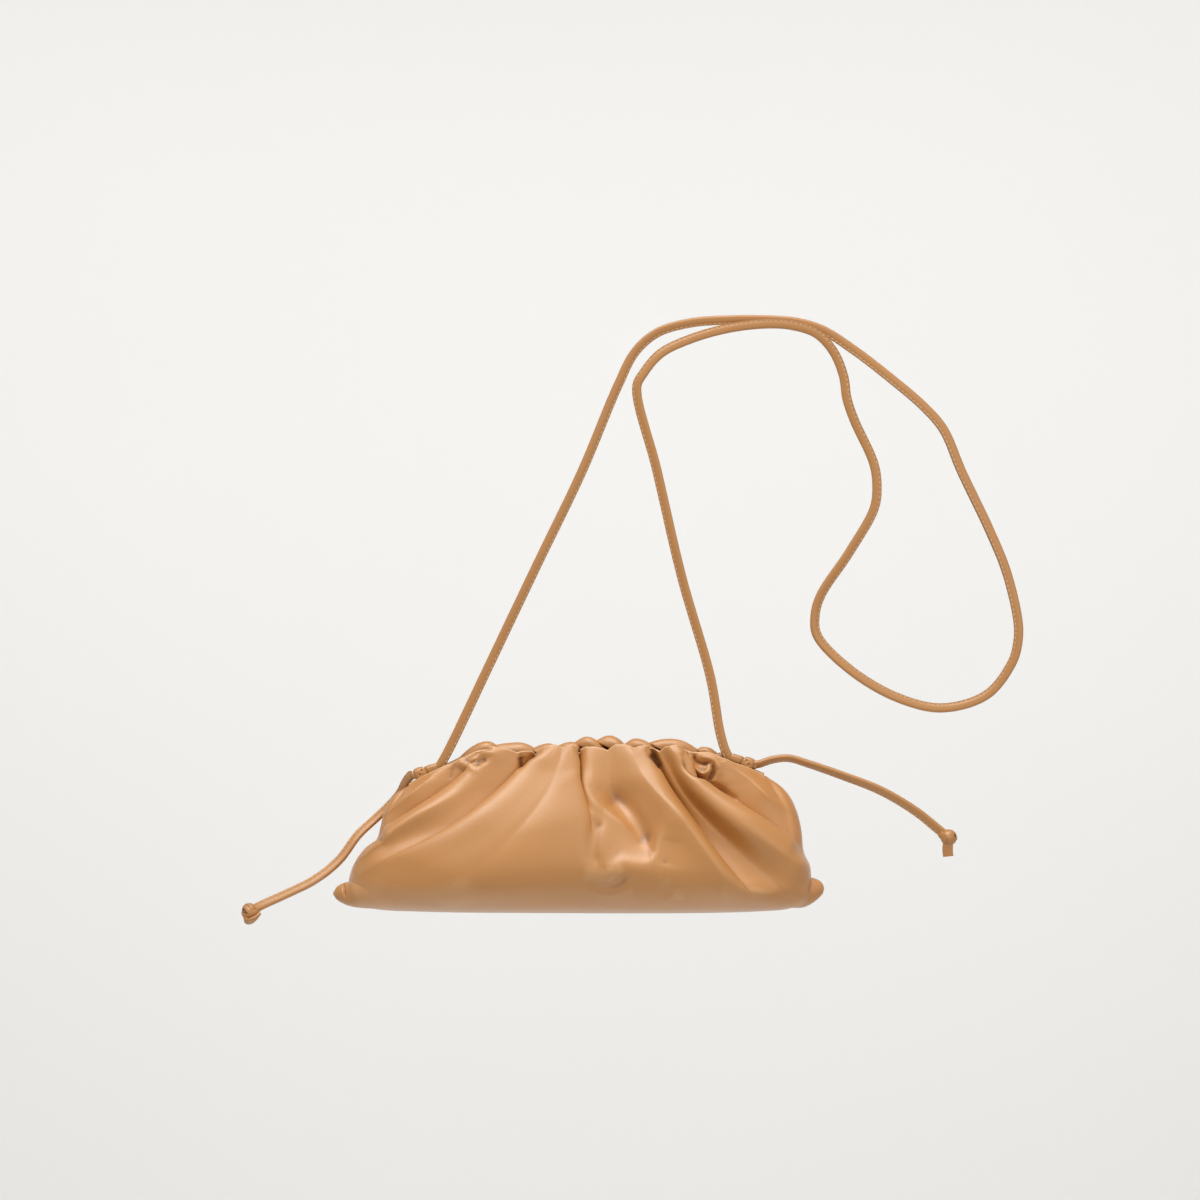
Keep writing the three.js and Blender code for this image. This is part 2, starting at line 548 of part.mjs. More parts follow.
// A ring of lace round a knot, in the plane square to the knot's length before it leans.
function wrap({ reach, band, along, lean }, [long, deep, high]) {
  const ring = new THREE.TorusGeometry(reach - band, band, BAND_SIDES, RING_SIDES);
  ring.rotateY(QUARTER_TURN);
  ring.scale(long, deep, high);
  ring.rotateY(lean);
  ring.translate(along * long, 0, 0);
  return solidOf(ring);
}

// The knot at the end of a tail: a round core with three crossing wraps of the lace.
const END_CORE_REACH = 0.45;
const END_WRAPS = [
  { reach: 0.5, band: 0.13, along: -0.2, lean: 0.35 },
  { reach: 0.5, band: 0.13, along: 0.2, lean: 0.35 },
  { reach: 0.46, band: 0.12, along: 0.0, lean: -0.75 },
];
function endKnot({ withStub, lean }) {
  const size = [END_KNOT_LENGTH, END_KNOT_DEPTH, END_KNOT_HEIGHT];
  const core = new THREE.SphereGeometry(END_CORE_REACH, RING_SIDES, CORE_ROWS);
  core.scale(...size);
  let solid = solidOf(core);
  for (const row of END_WRAPS) solid = solid.add(wrap(row, size));
  if (withStub) {
    const stub = new THREE.BoxGeometry(STRAP_WIDTH, STRAP_THICKNESS, END_STUB_LENGTH + END_KNOT_HEIGHT / 2);
    stub.translate(0, 0, -(END_STUB_LENGTH + END_KNOT_HEIGHT / 2) / 2);
    stub.rotateY(-lean);
    solid = solid.add(solidOf(stub));
  }
  return geometryOf(solid);
}

const bag = new THREE.Group();

function add(name, geometry, finish, parent = bag) {
  const mesh = new THREE.Mesh(geometry, new THREE.MeshStandardMaterial(finish));
  mesh.name = name;
  parent.add(mesh);
  return mesh;
}

const pouch = new THREE.Group();
pouch.position.set(BODY_SHIFT, 0, -BODY_DROP);
bag.add(pouch);
const frontForm = { folds: FRONT_FOLDS, dents: FRONT_DENTS, steps: FRONT_STEPS, rows: FRONT_ROWS };
const backForm = { folds: BACK_FOLDS, dents: [], steps: BACK_STEPS, rows: BACK_ROWS };
add('front_panel', panel(frontForm, true), LEATHER, pouch);
add('back_panel', panel(backForm, false), LEATHER, pouch);
add('left_corner', pinchedCorner(LEFT_CORNER), LEATHER, pouch);
add('right_corner', pinchedCorner(RIGHT_CORNER), LEATHER, pouch);

for (const [side, { inner, outer }] of Object.entries(STRAP_KNOTS)) {
  const [from, to] = [inner, outer].map(({ across, up }) => place(across, up));
  const along = to.clone().sub(from).normalize();
  const lift = new THREE.Vector3(0, 1, 0).cross(along).multiplyScalar(-Math.sign(along.x));
  const mesh = add(`strap_knot_${side}`, strapKnot(), LACE, pouch);
  mesh.position.copy(from).addScaledVector(lift, STRAP_KNOT_HEIGHT / 2 + KNOT_GAP);
  mesh.rotation.y = Math.atan2(-along.z, along.x);
}

add('shoulder_strap', lace(STRAP_ROUTE, STRAP_STEPS), LACE);
add('tail_left', lace(LEFT_TAIL_ROUTE, TAIL_STEPS), LACE);
add('tail_right', lace(RIGHT_TAIL_ROUTE, TAIL_STEPS), LACE);
const leftEnd = add('end_knot_left', endKnot({ withStub: false, lean: LEFT_END_KNOT.lean }), LACE);
leftEnd.position.set(...LEFT_END_KNOT.at);
leftEnd.rotation.y = LEFT_END_KNOT.lean;
const rightEnd = add('end_knot_right', endKnot({ withStub: true, lean: RIGHT_END_KNOT.lean }), LACE);
rightEnd.position.set(...RIGHT_END_KNOT.at);
rightEnd.rotation.y = RIGHT_END_KNOT.lean;

export default bag;
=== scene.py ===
"""A soft leather pouch bag that hangs by its long lace strap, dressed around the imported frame.

Lengths in the tables are shares of the pouch or millimetres; the meshes are in metres.
"""

import math

import bpy
import numpy as np
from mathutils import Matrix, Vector
from mathutils.bvhtree import BVHTree


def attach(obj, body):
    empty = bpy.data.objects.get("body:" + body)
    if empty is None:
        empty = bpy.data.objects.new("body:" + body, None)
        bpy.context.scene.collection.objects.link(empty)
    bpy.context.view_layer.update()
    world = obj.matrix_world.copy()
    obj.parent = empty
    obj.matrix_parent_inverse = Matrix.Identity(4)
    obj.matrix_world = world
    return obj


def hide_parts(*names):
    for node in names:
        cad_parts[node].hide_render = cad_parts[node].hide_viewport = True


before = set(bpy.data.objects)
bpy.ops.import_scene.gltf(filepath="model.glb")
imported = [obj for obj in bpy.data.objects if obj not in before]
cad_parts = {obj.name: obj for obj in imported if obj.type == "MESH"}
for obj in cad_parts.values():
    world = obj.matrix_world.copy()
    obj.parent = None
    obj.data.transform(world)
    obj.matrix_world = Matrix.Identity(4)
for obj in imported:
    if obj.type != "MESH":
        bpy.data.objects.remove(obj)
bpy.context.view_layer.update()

bl_info = {
    "name": "Leather Pouch Bag",
    "version": (1, 0, 0),
    "blender": (4, 5, 0),
    "location": "3D View > Sidebar > Pouch",
    "description": "Builds a gathered leather pouch bag with its knotted lace strap",
    "category": "Object",
}

MM = 0.001
BODY = "root"

# The pouch, in millimetres
HALF_WIDTH = 110
HALF_DEPTH = 28
BODY_HEIGHT = 79
BODY_PLACE = np.array([-22.2, 0, -237.5])
SEAM_GAP = 0.3
# The mouth: its gap in the middle, how far from its ends it is wholly open, and where a lip stands if it is shut.
MOUTH_GAP = 6
MOUTH_CLOSING = 24
SHUT_LIP = 2
# Points of a fold that turn round the edge of the pouch, and their share of its height.
ROUND_POINTS = 3
ROUND_SHARE = ROUND_POINTS / (ROUND_POINTS + 3)
# How the creases fade towards the base, in shares.
FADE_SHARE = 0.75
FADE_START = ROUND_SHARE + 0.2
FADE_LENGTH = 0.3
# How points crowd beside a crease and under the lip, rows round the lip, and outer rows to one inner row.
CROWDING = 1.7
ROW_CROWDING = 1.25
LIP_ROWS = 11
INNER_STRIDE = 3
# Shares of the height under the lip that follow its scallops and that thicken towards it.
LIP_PULL = 0.1
LIP_BLEND = 0.06
# Depth of a whole crease in millimetres, and the painted shade inside the pouch.
HOLLOW_DEPTH = 0.45
INNER_SHADE = 0.3

# Outline of the panels from the left end of the mouth round the base: across, up.
OUTLINE = [
    (-0.705, 0.712), (-0.756, 0.661), (-0.79, 0.58), (-0.806, 0.49), (-0.822, 0.42), (-0.868, 0.37),
    (-0.914, 0.28), (-0.934, 0.19), (-0.935, 0.12), (-0.91, 0.06), (-0.84, 0.026), (-0.642, 0.008),
    (-0.088, 0), (0.462, 0), (0.74, 0.01), (0.86, 0.026), (0.93, 0.07), (0.945, 0.15),
    (0.945, 0.26), (0.918, 0.35), (0.91, 0.458), (0.894, 0.56), (0.862, 0.66), (0.82, 0.725),
    (0.772, 0.769),
]

# Folds of a panel from left to right: sharpness from the left and from the right neighbour, then the points
# lip, upper, middle and low as (across, up, out), and seam as (across, up).
FRONT_FOLDS = [
    (0, 0, (-0.69, 0.723, 0), (-0.693, 0.721, 0.075), (-0.696, 0.719, 0.07), (-0.7, 0.716, 0.06), (-0.705, 0.712)),
    (0, 0, (-0.56, 0.815, 0.03), (-0.63, 0.735, 0.27), (-0.695, 0.66, 0.32), (-0.76, 0.59, 0.2), (-0.797, 0.55)),
    (0.3, 0.7, (-0.355, 0.913, 0), (-0.52, 0.708, 0.26), (-0.69, 0.55, 0.34), (-0.77, 0.482, 0.29), (-0.822, 0.43)),
    (0, 0, (-0.28, 0.925, 0.11), (-0.43, 0.715, 0.45), (-0.64, 0.545, 0.58), (-0.812, 0.395, 0.54), (-0.912, 0.29)),
    (0.5, 0.8, (-0.165, 0.925, 0), (-0.27, 0.745, 0.38), (-0.46, 0.53, 0.63), (-0.74, 0.34, 0.68), (-0.935, 0.18)),
    (0, 0, (-0.063, 0.942, 0.11), (-0.12, 0.71, 0.63), (-0.28, 0.44, 0.92), (-0.45, 0.2, 1), (-0.52, 0.006)),
    (0.9, 0.6, (-0.004, 0.913, 0), (0.0, 0.766, 0.4), (0.053, 0.56, 0.7), (0.068, 0.29, 0.9), (0.1, 0)),
    (0, 0, (0.055, 0.93, 0.07), (0.06, 0.75, 0.5), (0.13, 0.482, 0.76), (0.193, 0.233, 0.92), (0.24, 0)),
    (0, 0, (0.125, 0.93, 0.085), (0.14, 0.698, 0.47), (0.255, 0.465, 0.7), (0.34, 0.25, 0.92), (0.37, 0)),
    (0, 0, (0.2, 0.936, 0.1), (0.283, 0.743, 0.6), (0.413, 0.53, 0.84), (0.56, 0.24, 0.97), (0.585, 0)),
    (0.9, 0.3, (0.28, 0.913, 0), (0.36, 0.7, 0.3), (0.5, 0.445, 0.56), (0.665, 0.175, 0.78), (0.756, 0.012)),
    (0, 0, (0.325, 0.928, 0.07), (0.435, 0.665, 0.4), (0.6, 0.42, 0.55), (0.8, 0.19, 0.6), (0.92, 0.06)),
    (0, 0, (0.37, 0.925, 0.11), (0.48, 0.71, 0.58), (0.66, 0.5, 0.78), (0.84, 0.33, 0.66), (0.945, 0.245)),
    (0.8, 0.3, (0.415, 0.9, 0), (0.505, 0.742, 0.25), (0.72, 0.545, 0.38), (0.86, 0.42, 0.33), (0.916, 0.37)),
    (0, 0, (0.57, 0.88, 0.03), (0.69, 0.76, 0.27), (0.765, 0.665, 0.33), (0.84, 0.595, 0.22), (0.893, 0.565)),
    (0, 0, (0.756, 0.782, 0), (0.76, 0.779, 0.075), (0.764, 0.776, 0.07), (0.768, 0.773, 0.06), (0.772, 0.769)),
]
BACK_FOLDS = [
    (0, 0, (-0.69, 0.723, 0), (-0.693, 0.721, 0.075), (-0.696, 0.719, 0.07), (-0.7, 0.716, 0.06), (-0.705, 0.712)),
    (0, 0, (-0.57, 0.825, 0.03), (-0.645, 0.74, 0.31), (-0.7, 0.66, 0.38), (-0.75, 0.6, 0.31), (-0.797, 0.55)),
    (0.8, 0.8, (-0.5, 0.89, 0), (-0.57, 0.7, 0.24), (-0.68, 0.57, 0.32), (-0.765, 0.47, 0.3), (-0.818, 0.43)),
    (0, 0, (-0.4, 0.965, 0.11), (-0.46, 0.76, 0.47), (-0.61, 0.58, 0.64), (-0.8, 0.39, 0.58), (-0.912, 0.284)),
    (0.8, 0.8, (-0.333, 0.955, 0), (-0.37, 0.75, 0.34), (-0.47, 0.52, 0.62), (-0.7, 0.28, 0.7), (-0.936, 0.136)),
    (0, 0, (-0.26, 0.968, 0.11), (-0.28, 0.75, 0.58), (-0.36, 0.46, 0.86), (-0.48, 0.2, 0.98), (-0.52, 0.006)),
    (0.7, 0.7, (-0.185, 0.945, 0), (-0.2, 0.76, 0.44), (-0.22, 0.5, 0.8), (-0.3, 0.22, 0.96), (-0.32, 0.003)),
    (0, 0, (-0.1, 0.963, 0.11), (-0.11, 0.74, 0.6), (-0.12, 0.46, 0.89), (-0.15, 0.2, 1), (-0.16, 0)),
    (0.7, 0.7, (-0.01, 0.965, 0), (-0.01, 0.75, 0.44), (-0.005, 0.5, 0.79), (0, 0.22, 0.97), (0, 0)),
    (0, 0, (0.035, 0.995, 0.11), (0.06, 0.75, 0.62), (0.085, 0.46, 0.9), (0.12, 0.2, 1), (0.13, 0)),
    (0.8, 0.8, (0.075, 0.985, 0), (0.12, 0.75, 0.4), (0.185, 0.5, 0.72), (0.27, 0.22, 0.94), (0.29, 0)),
    (0, 0, (0.125, 1.0, 0.1), (0.19, 0.75, 0.58), (0.285, 0.46, 0.87), (0.38, 0.2, 0.98), (0.4, 0)),
    (0.6, 0.6, (0.181, 0.975, 0.02), (0.25, 0.75, 0.52), (0.36, 0.47, 0.84), (0.47, 0.2, 0.96), (0.49, 0)),
    (0, 0, (0.235, 0.985, 0.1), (0.3, 0.75, 0.57), (0.42, 0.47, 0.85), (0.55, 0.2, 0.94), (0.57, 0)),
    (0.8, 0.8, (0.289, 0.975, 0), (0.37, 0.74, 0.36), (0.5, 0.48, 0.66), (0.64, 0.2, 0.84), (0.68, 0.005)),
    (0, 0, (0.38, 0.98, 0.11), (0.48, 0.74, 0.55), (0.63, 0.48, 0.74), (0.8, 0.2, 0.7), (0.92, 0.06)),
    (0.9, 0.7, (0.483, 0.935, 0), (0.58, 0.74, 0.28), (0.73, 0.54, 0.4), (0.86, 0.38, 0.38), (0.93, 0.31)),
    (0, 0, (0.6, 0.878, 0.03), (0.7, 0.765, 0.31), (0.775, 0.66, 0.4), (0.835, 0.595, 0.33), (0.893, 0.565)),
    (0, 0, (0.756, 0.782, 0), (0.76, 0.779, 0.075), (0.764, 0.776, 0.07), (0.768, 0.773, 0.06), (0.772, 0.769)),
]

# Round dents and swellings of the front: across, up, wide, tall, out.
FRONT_DENTS = [
    (0.165, 0.66, 0.13, 0.09, -0.08),
    (0.2, 0.25, 0.17, 0.07, 0.03),
    (0.36, 0.4, 0.07, 0.16, 0.05),
    (0.72, 0.13, 0.14, 0.07, 0.05),
]

# Small pleats, creases and rims of the front. out: height of the middle in mm. left, right: how wide it is
# to each side of its line, in mm. line: points (across, up) in the front view.
FRONT_PLEATS = [
    ("pleat under the left knot", -0.4, 1.4, 1.2, [(-0.511, 0.834), (-0.515, 0.8), (-0.523, 0.76)]),
    ("left curl", 1.2, 1.2, 1.6, [(-0.49, 0.868), (-0.468, 0.85), (-0.44, 0.828), (-0.41, 0.806)]),
    ("pocket behind the left curl", -1.6, 1.2, 1.4, [(-0.405, 0.826), (-0.392, 0.85), (-0.363, 0.872)]),
    ("second ridge of the left curl", 0.8, 1.0, 1.2, [(-0.436, 0.865), (-0.388, 0.892), (-0.344, 0.906)]),
    ("left pocket, near wall", -1.9, 1.6, 1.4, [(-0.23, 0.895), (-0.224, 0.817)]),
    ("left pocket, far wall", -1.7, 1.2, 2.8, [(-0.157, 0.9), (-0.193, 0.851), (-0.22, 0.811)]),
    ("streak above the cup", 0.7, 2.0, 2.4,
     [(0.01, 0.84), (0.022, 0.726), (0.051, 0.658), (0.108, 0.59), (0.165, 0.533), (0.23, 0.442)]),
    ("valley beside the streak", -1.4, 3.4, 4.6,
     [(0.1, 0.7), (0.17, 0.64), (0.225, 0.56), (0.262, 0.465), (0.279, 0.38)]),
    ("left wall of the cup", -1.1, 2.6, 3.6,
     [(0.096, 0.556), (0.067, 0.476), (0.059, 0.374), (0.075, 0.272)]),
    ("rim of the cup", 1.1, 3.6, 4.0,
     [(0.079, 0.244), (0.112, 0.233), (0.149, 0.267), (0.181, 0.301), (0.23, 0.295), (0.279, 0.301),
      (0.312, 0.346), (0.324, 0.408), (0.336, 0.465), (0.365, 0.516)]),
    ("dip below the cup", -0.7, 2.6, 3.0, [(0.063, 0.176), (0.12, 0.164), (0.173, 0.187), (0.218, 0.233)]),
    ("dip right of the cup", -0.8, 3.2, 5.4, [(0.344, 0.278), (0.36, 0.369), (0.365, 0.459)]),
    ("small dimple", -0.5, 2.4, 2.8, [(0.34, 0.102), (0.356, 0.136), (0.377, 0.164)]),
    ("swelling beside the dimple", 0.5, 2.6, 2.6, [(0.385, 0.108), (0.422, 0.136)]),
    ("pocket over the right long crease", -2.4, 2.0, 1.5, [(0.279, 0.905), (0.303, 0.851), (0.32, 0.811)]),
    ("curled pleat", 1.9, 1.3, 1.4,
     [(0.448, 0.906), (0.458, 0.858), (0.478, 0.818), (0.507, 0.795), (0.532, 0.816), (0.537, 0.841)]),
    ("upper lobe of the curled pleat", 1.3, 1.3, 1.5,
     [(0.493, 0.892), (0.524, 0.885), (0.558, 0.862), (0.568, 0.804)]),
    ("groove inside the curled pleat", -1.5, 0.7, 0.8,
     [(0.468, 0.903), (0.478, 0.868), (0.503, 0.852), (0.534, 0.854)]),
    ("gap under the curled pleat", -2.4, 1.6, 0.9,
     [(0.415, 0.885), (0.425, 0.832), (0.464, 0.773), (0.51, 0.746), (0.572, 0.706), (0.631, 0.656)]),
    ("line round the end of the curled pleat", -1.7, 0.9, 1.2,
     [(0.543, 0.849), (0.547, 0.818), (0.541, 0.777), (0.524, 0.757)]),
    ("ridge beyond the curled pleat", 0.6, 3.5, 2.5, [(0.577, 0.874), (0.587, 0.811), (0.603, 0.715)]),
]

# Long folds that lie over their neighbour along a crease of the front. crease: its place in FRONT_FOLDS.
# over: the side in front, -1 left and 1 right. out, drop: rise of the edge in front and depth of the side behind,
# in mm. edge: radius of the edge in mm. reach: how far the rise fades, in mm. start, full: share of the height
# of the fold from which it rises and at which it is whole.
FRONT_OVERLAPS = [
    ("left side fold", 2, 1, 1.7, 0.4, 1.2, 4.5, 0.2, 0.55),
    ("left long fold", 4, 1, 2.1, 0.6, 1.5, 6.0, 0.4, 0.72),
    ("centre fold", 6, -1, 1.0, 2.0, 1.0, 3.5, 0.66, 0.9),
    ("right long fold", 10, -1, 1.9, 2.6, 1.3, 5.0, 0.35, 0.8),
    ("right side fold", 13, -1, 1.8, 1.4, 1.3, 5.0, 0.12, 0.55),
]
# How far the side behind sinks in, how far past its crease an edge moves, both in mm, and the share of the height
# under the lip over which it moves back.
BEHIND_REACH = 2.6
SHIFT_SPARE = 0.3
SHIFT_FADE = 0.07

# Top edge of the front lip, scalloped between its notches: across, up.
FRONT_LIP = [
    (-0.69, 0.728), (-0.64, 0.768), (-0.6, 0.796), (-0.54, 0.834), (-0.491, 0.862), (-0.466, 0.88),
    (-0.415, 0.915), (-0.377, 0.925),
    (-0.338, 0.931), (-0.292, 0.929), (-0.271, 0.921), (-0.251, 0.908), (-0.234, 0.914), (-0.211, 0.917),
    (-0.185, 0.915), (-0.165, 0.896), (-0.153, 0.913), (-0.13, 0.931), (-0.108, 0.948), (-0.084, 0.948),
    (-0.063, 0.934), (-0.043, 0.949), (-0.026, 0.948), (-0.014, 0.937), (-0.005, 0.913), (0.004, 0.931),
    (0.029, 0.942), (0.07, 0.94), (0.101, 0.931), (0.119, 0.92), (0.132, 0.936), (0.149, 0.952), (0.185, 0.955),
    (0.208, 0.946), (0.226, 0.928), (0.238, 0.935), (0.278, 0.936), (0.309, 0.926), (0.33, 0.915), (0.342, 0.928),
    (0.356, 0.942), (0.393, 0.94), (0.423, 0.929), (0.46, 0.91), (0.501, 0.908), (0.536, 0.908), (0.576, 0.882),
    (0.629, 0.851), (0.69, 0.822), (0.756, 0.782),
]

# Gathers of the back lip from left to right: left end, crest and right end across, height of the rim, the crest
# and the right end, radius in mm, and slant of the mouth in mm. Each opens to the left, over the right end of the
# one before.
BACK_GATHERS = [
    (-0.5, -0.375, -0.325, 0.862, 0.973, 0.94, 4.2, 20), (-0.338, -0.25, -0.175, 0.95, 0.966, 0.93, 3.9, 8),
    (-0.19, -0.125, -0.075, 0.93, 0.961, 0.93, 3.6, 9), (-0.095, -0.025, 0.01, 0.945, 0.971, 0.95, 3.6, 9),
    (-0.014, 0.032, 0.125, 0.968, 0.998, 0.9, 4.2, 13), (0.074, 0.13, 0.195, 0.978, 1.004, 0.945, 4.3, 13),
    (0.187, 0.235, 0.34, 0.958, 0.99, 0.9, 4.2, 13), (0.29, 0.372, 0.492, 0.966, 0.99, 0.922, 4.4, 13),
    (0.485, 0.51, 0.572, 0.928, 0.942, 0.9, 2.8, 7), (0.558, 0.58, 0.632, 0.902, 0.91, 0.88, 2.0, 5),
]

# The two pinched corners, from inside the pouch out to the tip: across, upper and lower edge as shares of the
# height, and half the thickness in mm.
LEFT_CORNER = [(-0.8, 0.15, 0.03, 5.5), (-0.85, 0.17, 0.027, 9.5), (-0.89, 0.181, 0.031, 9.8),
               (-0.92, 0.182, 0.037, 9.0), (-0.945, 0.176, 0.047, 7.6), (-0.965, 0.167, 0.06, 5.9),
               (-0.985, 0.149, 0.078, 3.8), (-0.998, 0.118, 0.104, 0.8)]
RIGHT_CORNER = [(0.82, 0.17, 0.06, 5.5), (0.87, 0.19, 0.033, 8.0), (0.9, 0.2, 0.03, 8.0), (0.925, 0.204, 0.037, 7.2),
                (0.957, 0.2, 0.06, 5.6), (0.983, 0.185, 0.09, 4.2), (0.996, 0.165, 0.112, 2.8),
                (1.001, 0.146, 0.134, 0.6)]
# How far from the panel a corner starts to flow into it, and how deep its hidden end lies under the panel, in mm.
CORNER_UNION = 9.0
CORNER_SINK = 0.3

# Routes of the laces, in millimetres from the grip.
STRAP_ROUTE = [
    (-85.0, 0, -172.6), (-83.2, 0, -169.7), (-81.2, 0, -166.1), (-77.9, 0, -159.6), (-63.7, 0, -129.6),
    (-40.4, 0.3, -80.7), (-20.6, 0.8, -39.5), (-4.5, 1.6, -1.0), (3.2, 1.8, 14.0), (13.0, 1.8, 22.6),
    (27.5, 1.8, 27.0), (46.0, 1.8, 28.4), (63.0, 1.8, 28.4), (75.5, 1.8, 27.4), (87.0, 1.6, 24.0),
    (100.5, 1.3, 15.5), (118.2, 1.0, 1.9), (133.2, 0.8, -11.0), (141.5, 0.6, -20.8), (149.6, 0.5, -39.6),
    (162.2, 0.3, -66.1), (169.8, 0.2, -84.9), (174.9, 0, -107.5), (174.7, 0, -116.4), (172.2, 0, -125.1),
    (160.9, 0, -139.6), (140.8, 0, -145.6), (120.6, 0, -140.9), (99.3, -0.3, -128.3), (84.8, -0.5, -113.2),
    (83.7, -0.7, -105.0), (86.1, -0.8, -95.6), (99.3, -1.0, -75.5), (110.3, -1.2, -56.0),
    (111.5, -1.3, -45.9), (110.0, -1.4, -35.9), (101.2, -1.6, -16.4), (98.0, -1.7, -6.9), (96.5, -1.8, 3.1),
    (92.0, -1.8, 14.0), (84.5, -1.8, 22.0), (74.0, -1.8, 25.6), (63.0, -1.8, 26.4), (46.0, -1.8, 24.6),
    (28.0, -1.8, 19.6), (14.5, -1.8, 13.0), (6.8, -1.8, 4.0), (4.0, -1.6, -1.8), (12.9, -0.8, -38.6),
    (24.3, -0.3, -87.4), (36.9, 0, -131.4), (41.0, 0, -155.2), (42.6, 0, -161.6), (43.9, 0, -165.2),
    (45.9, 0, -169.0),
]
LEFT_TAIL_ROUTE = [
    (-97.0, 0.2, -175.6), (-98.2, 1.8, -176.8), (-99.8, 4.2, -179.2), (-102.6, 8.6, -184.4), (-107.5, 12.2, -190.0),
    (-113.5, 11.6, -195.6), (-121.2, 8.0, -202.8), (-129.8, 4.4, -214.2), (-140.6, 1.6, -222.8),
    (-154.4, 0.4, -229.6), (-164.9, 0, -234.4), (-168.0, 0, -236.2),
]
RIGHT_TAIL_ROUTE = [
    (56.6, 0, -170.9), (58.9, 0, -170.6), (61.2, 0, -169.8), (65.2, 0, -168.6), (72.0, 0, -168.0), (81.1, 0, -170.6),
    (96.9, 0, -176.1), (113.4, 0, -182.6), (129.1, 0, -191.9), (139.9, 0, -200.6), (142.4, 0, -202.6),
]
# How the flat laces turn about their length: share of the length, degrees.
STRAP_TURNS = [(0, 0), (0.04, 12), (0.18, 18), (0.3, 0), (0.42, -14), (0.5, 12), (0.6, 20), (0.7, -10),
               (0.8, 8), (0.9, 20), (0.97, 10), (1, 0)]
LEFT_TAIL_TURNS = [(0, 30), (0.3, 40), (0.6, 30), (0.85, 38), (1, 25)]
RIGHT_TAIL_TURNS = [(0, 50), (0.2, 58), (0.5, 38), (0.8, 30), (1, 20)]

# Section of the folded lace: across, from the fold to the stitched edge, and through, as shares of half the
# width and half the thickness. The groove near the stitched edge holds the thread.
LACE_SECTION = [
    (-1, 0), (-0.95, 0.5), (-0.8, 0.82), (-0.5, 0.96), (0, 1), (0.32, 0.97), (0.5, 0.86), (0.62, 0.76),
    (0.74, 0.86), (0.88, 0.86), (0.98, 0.62), (1, 0.3), (0.92, 0.08),
]


def linear(code):
    """An sRGB hex colour as linear RGBA."""
    parts = [int(code[i:i + 2], 16) / 255 for i in (1, 3, 5)]
    return tuple(c / 12.92 if c <= 0.04045 else ((c + 0.055) / 1.055) ** 2.4 for c in parts) + (1.0,)


def ease(share):
    s = np.clip(share, 0, 1)
    return s * s * (3 - 2 * s)


def spline(points, shares):
    """Points of a smooth centripetal line through the given ones, at shares of its parameter."""
    p = np.asarray(points, float)
    p = np.vstack([2 * p[0] - p[1], p, 2 * p[-1] - p[-2]])
    place = np.clip(np.asarray(shares, float), 0, 1) * (len(p) - 3)
    i = np.minimum(place.astype(int), len(p) - 4)
    w = (place - i)[:, None]
    a, b, c, d = p[i], p[i + 1], p[i + 2], p[i + 3]
    before, here, after = (np.maximum(np.linalg.norm(v, axis=1), 1e-9)[:, None] ** 0.5
                           for v in (b - a, c - b, d - c))
    start = ((b - a) / before - (c - a) / (before + here) + (c - b) / here) * here
    end = ((c - b) / here - (d - b) / (here + after) + (d - c) / after) * here
    return (b + start * w + (-3 * b + 3 * c - 2 * start - end) * w ** 2
            + (2 * b - 2 * c + start + end) * w ** 3)


def lengths(points):
    """Length along a line up to each of its points."""
    return np.concatenate([[0], np.cumsum(np.linalg.norm(np.diff(points, axis=0), axis=1))])


def read_off(stops, shares, table):
    """The columns of a table, read off at some stops."""
    return np.stack([np.interp(stops, shares, column) for column in np.asarray(table).T], axis=-1)


def even_points(points, spacing):
    """The same line at even distances, and its length."""
    fine = spline(points, np.linspace(0, 1, len(points) * 60))
    along = lengths(fine)
    stops = np.linspace(0, along[-1], int(round(along[-1] / spacing)) + 1)
    return read_off(stops, along, fine), along[-1]


def unit(vectors):
    return vectors / np.maximum(np.linalg.norm(vectors, axis=-1, keepdims=True), 1e-12)


def place_of(across, up, out=0):
    """A point of the pouch in millimetres from shares of its half width, its height and its half depth."""
    return np.array([across * HALF_WIDTH, out * HALF_DEPTH, up * BODY_HEIGHT])


# The seam line that the panels share

SEAM = spline([place_of(*spot) for spot in OUTLINE], np.linspace(0, 1, 3001))
SEAM_SHARES = lengths(SEAM)
SEAM_SHARES /= SEAM_SHARES[-1]


def seam_at(shares):
    return read_off(shares, SEAM_SHARES, SEAM)


def fold_line(fold, mouth):
    """A fold from the seam, round the edge of the pouch and up to the lip: its points and its seam share."""
    lip, upper, middle, low, seam = fold[2:]
    share = SEAM_SHARES[np.argmin(np.linalg.norm(SEAM - place_of(*seam), axis=1))]
    base = seam_at(share)
    upper, middle, low = (place_of(*spot) for spot in (upper, middle, low))
    opening = ease(min(lip[0] - mouth[0], mouth[1] - lip[0]) * HALF_WIDTH / MOUTH_CLOSING)
    top = place_of(*lip)
    top[1] += SHUT_LIP + MOUTH_GAP / 2 * opening
    points = []
    for i in range(ROUND_POINTS):
        turn = math.pi / 2 * i / ROUND_POINTS
        p = low + (base - low) * math.cos(turn)
        p[1] = low[1] * math.sin(turn)
        points.append(p)
    return points + [low, middle, upper, top], share


def crowded(steps, start, end):
    """Shares across one fold, closer together beside a crease."""
    share = np.linspace(0, 1, steps + 1)
    if start and not end:
        return share ** CROWDING
    if end and not start:
        return 1 - (1 - share) ** CROWDING
    return share


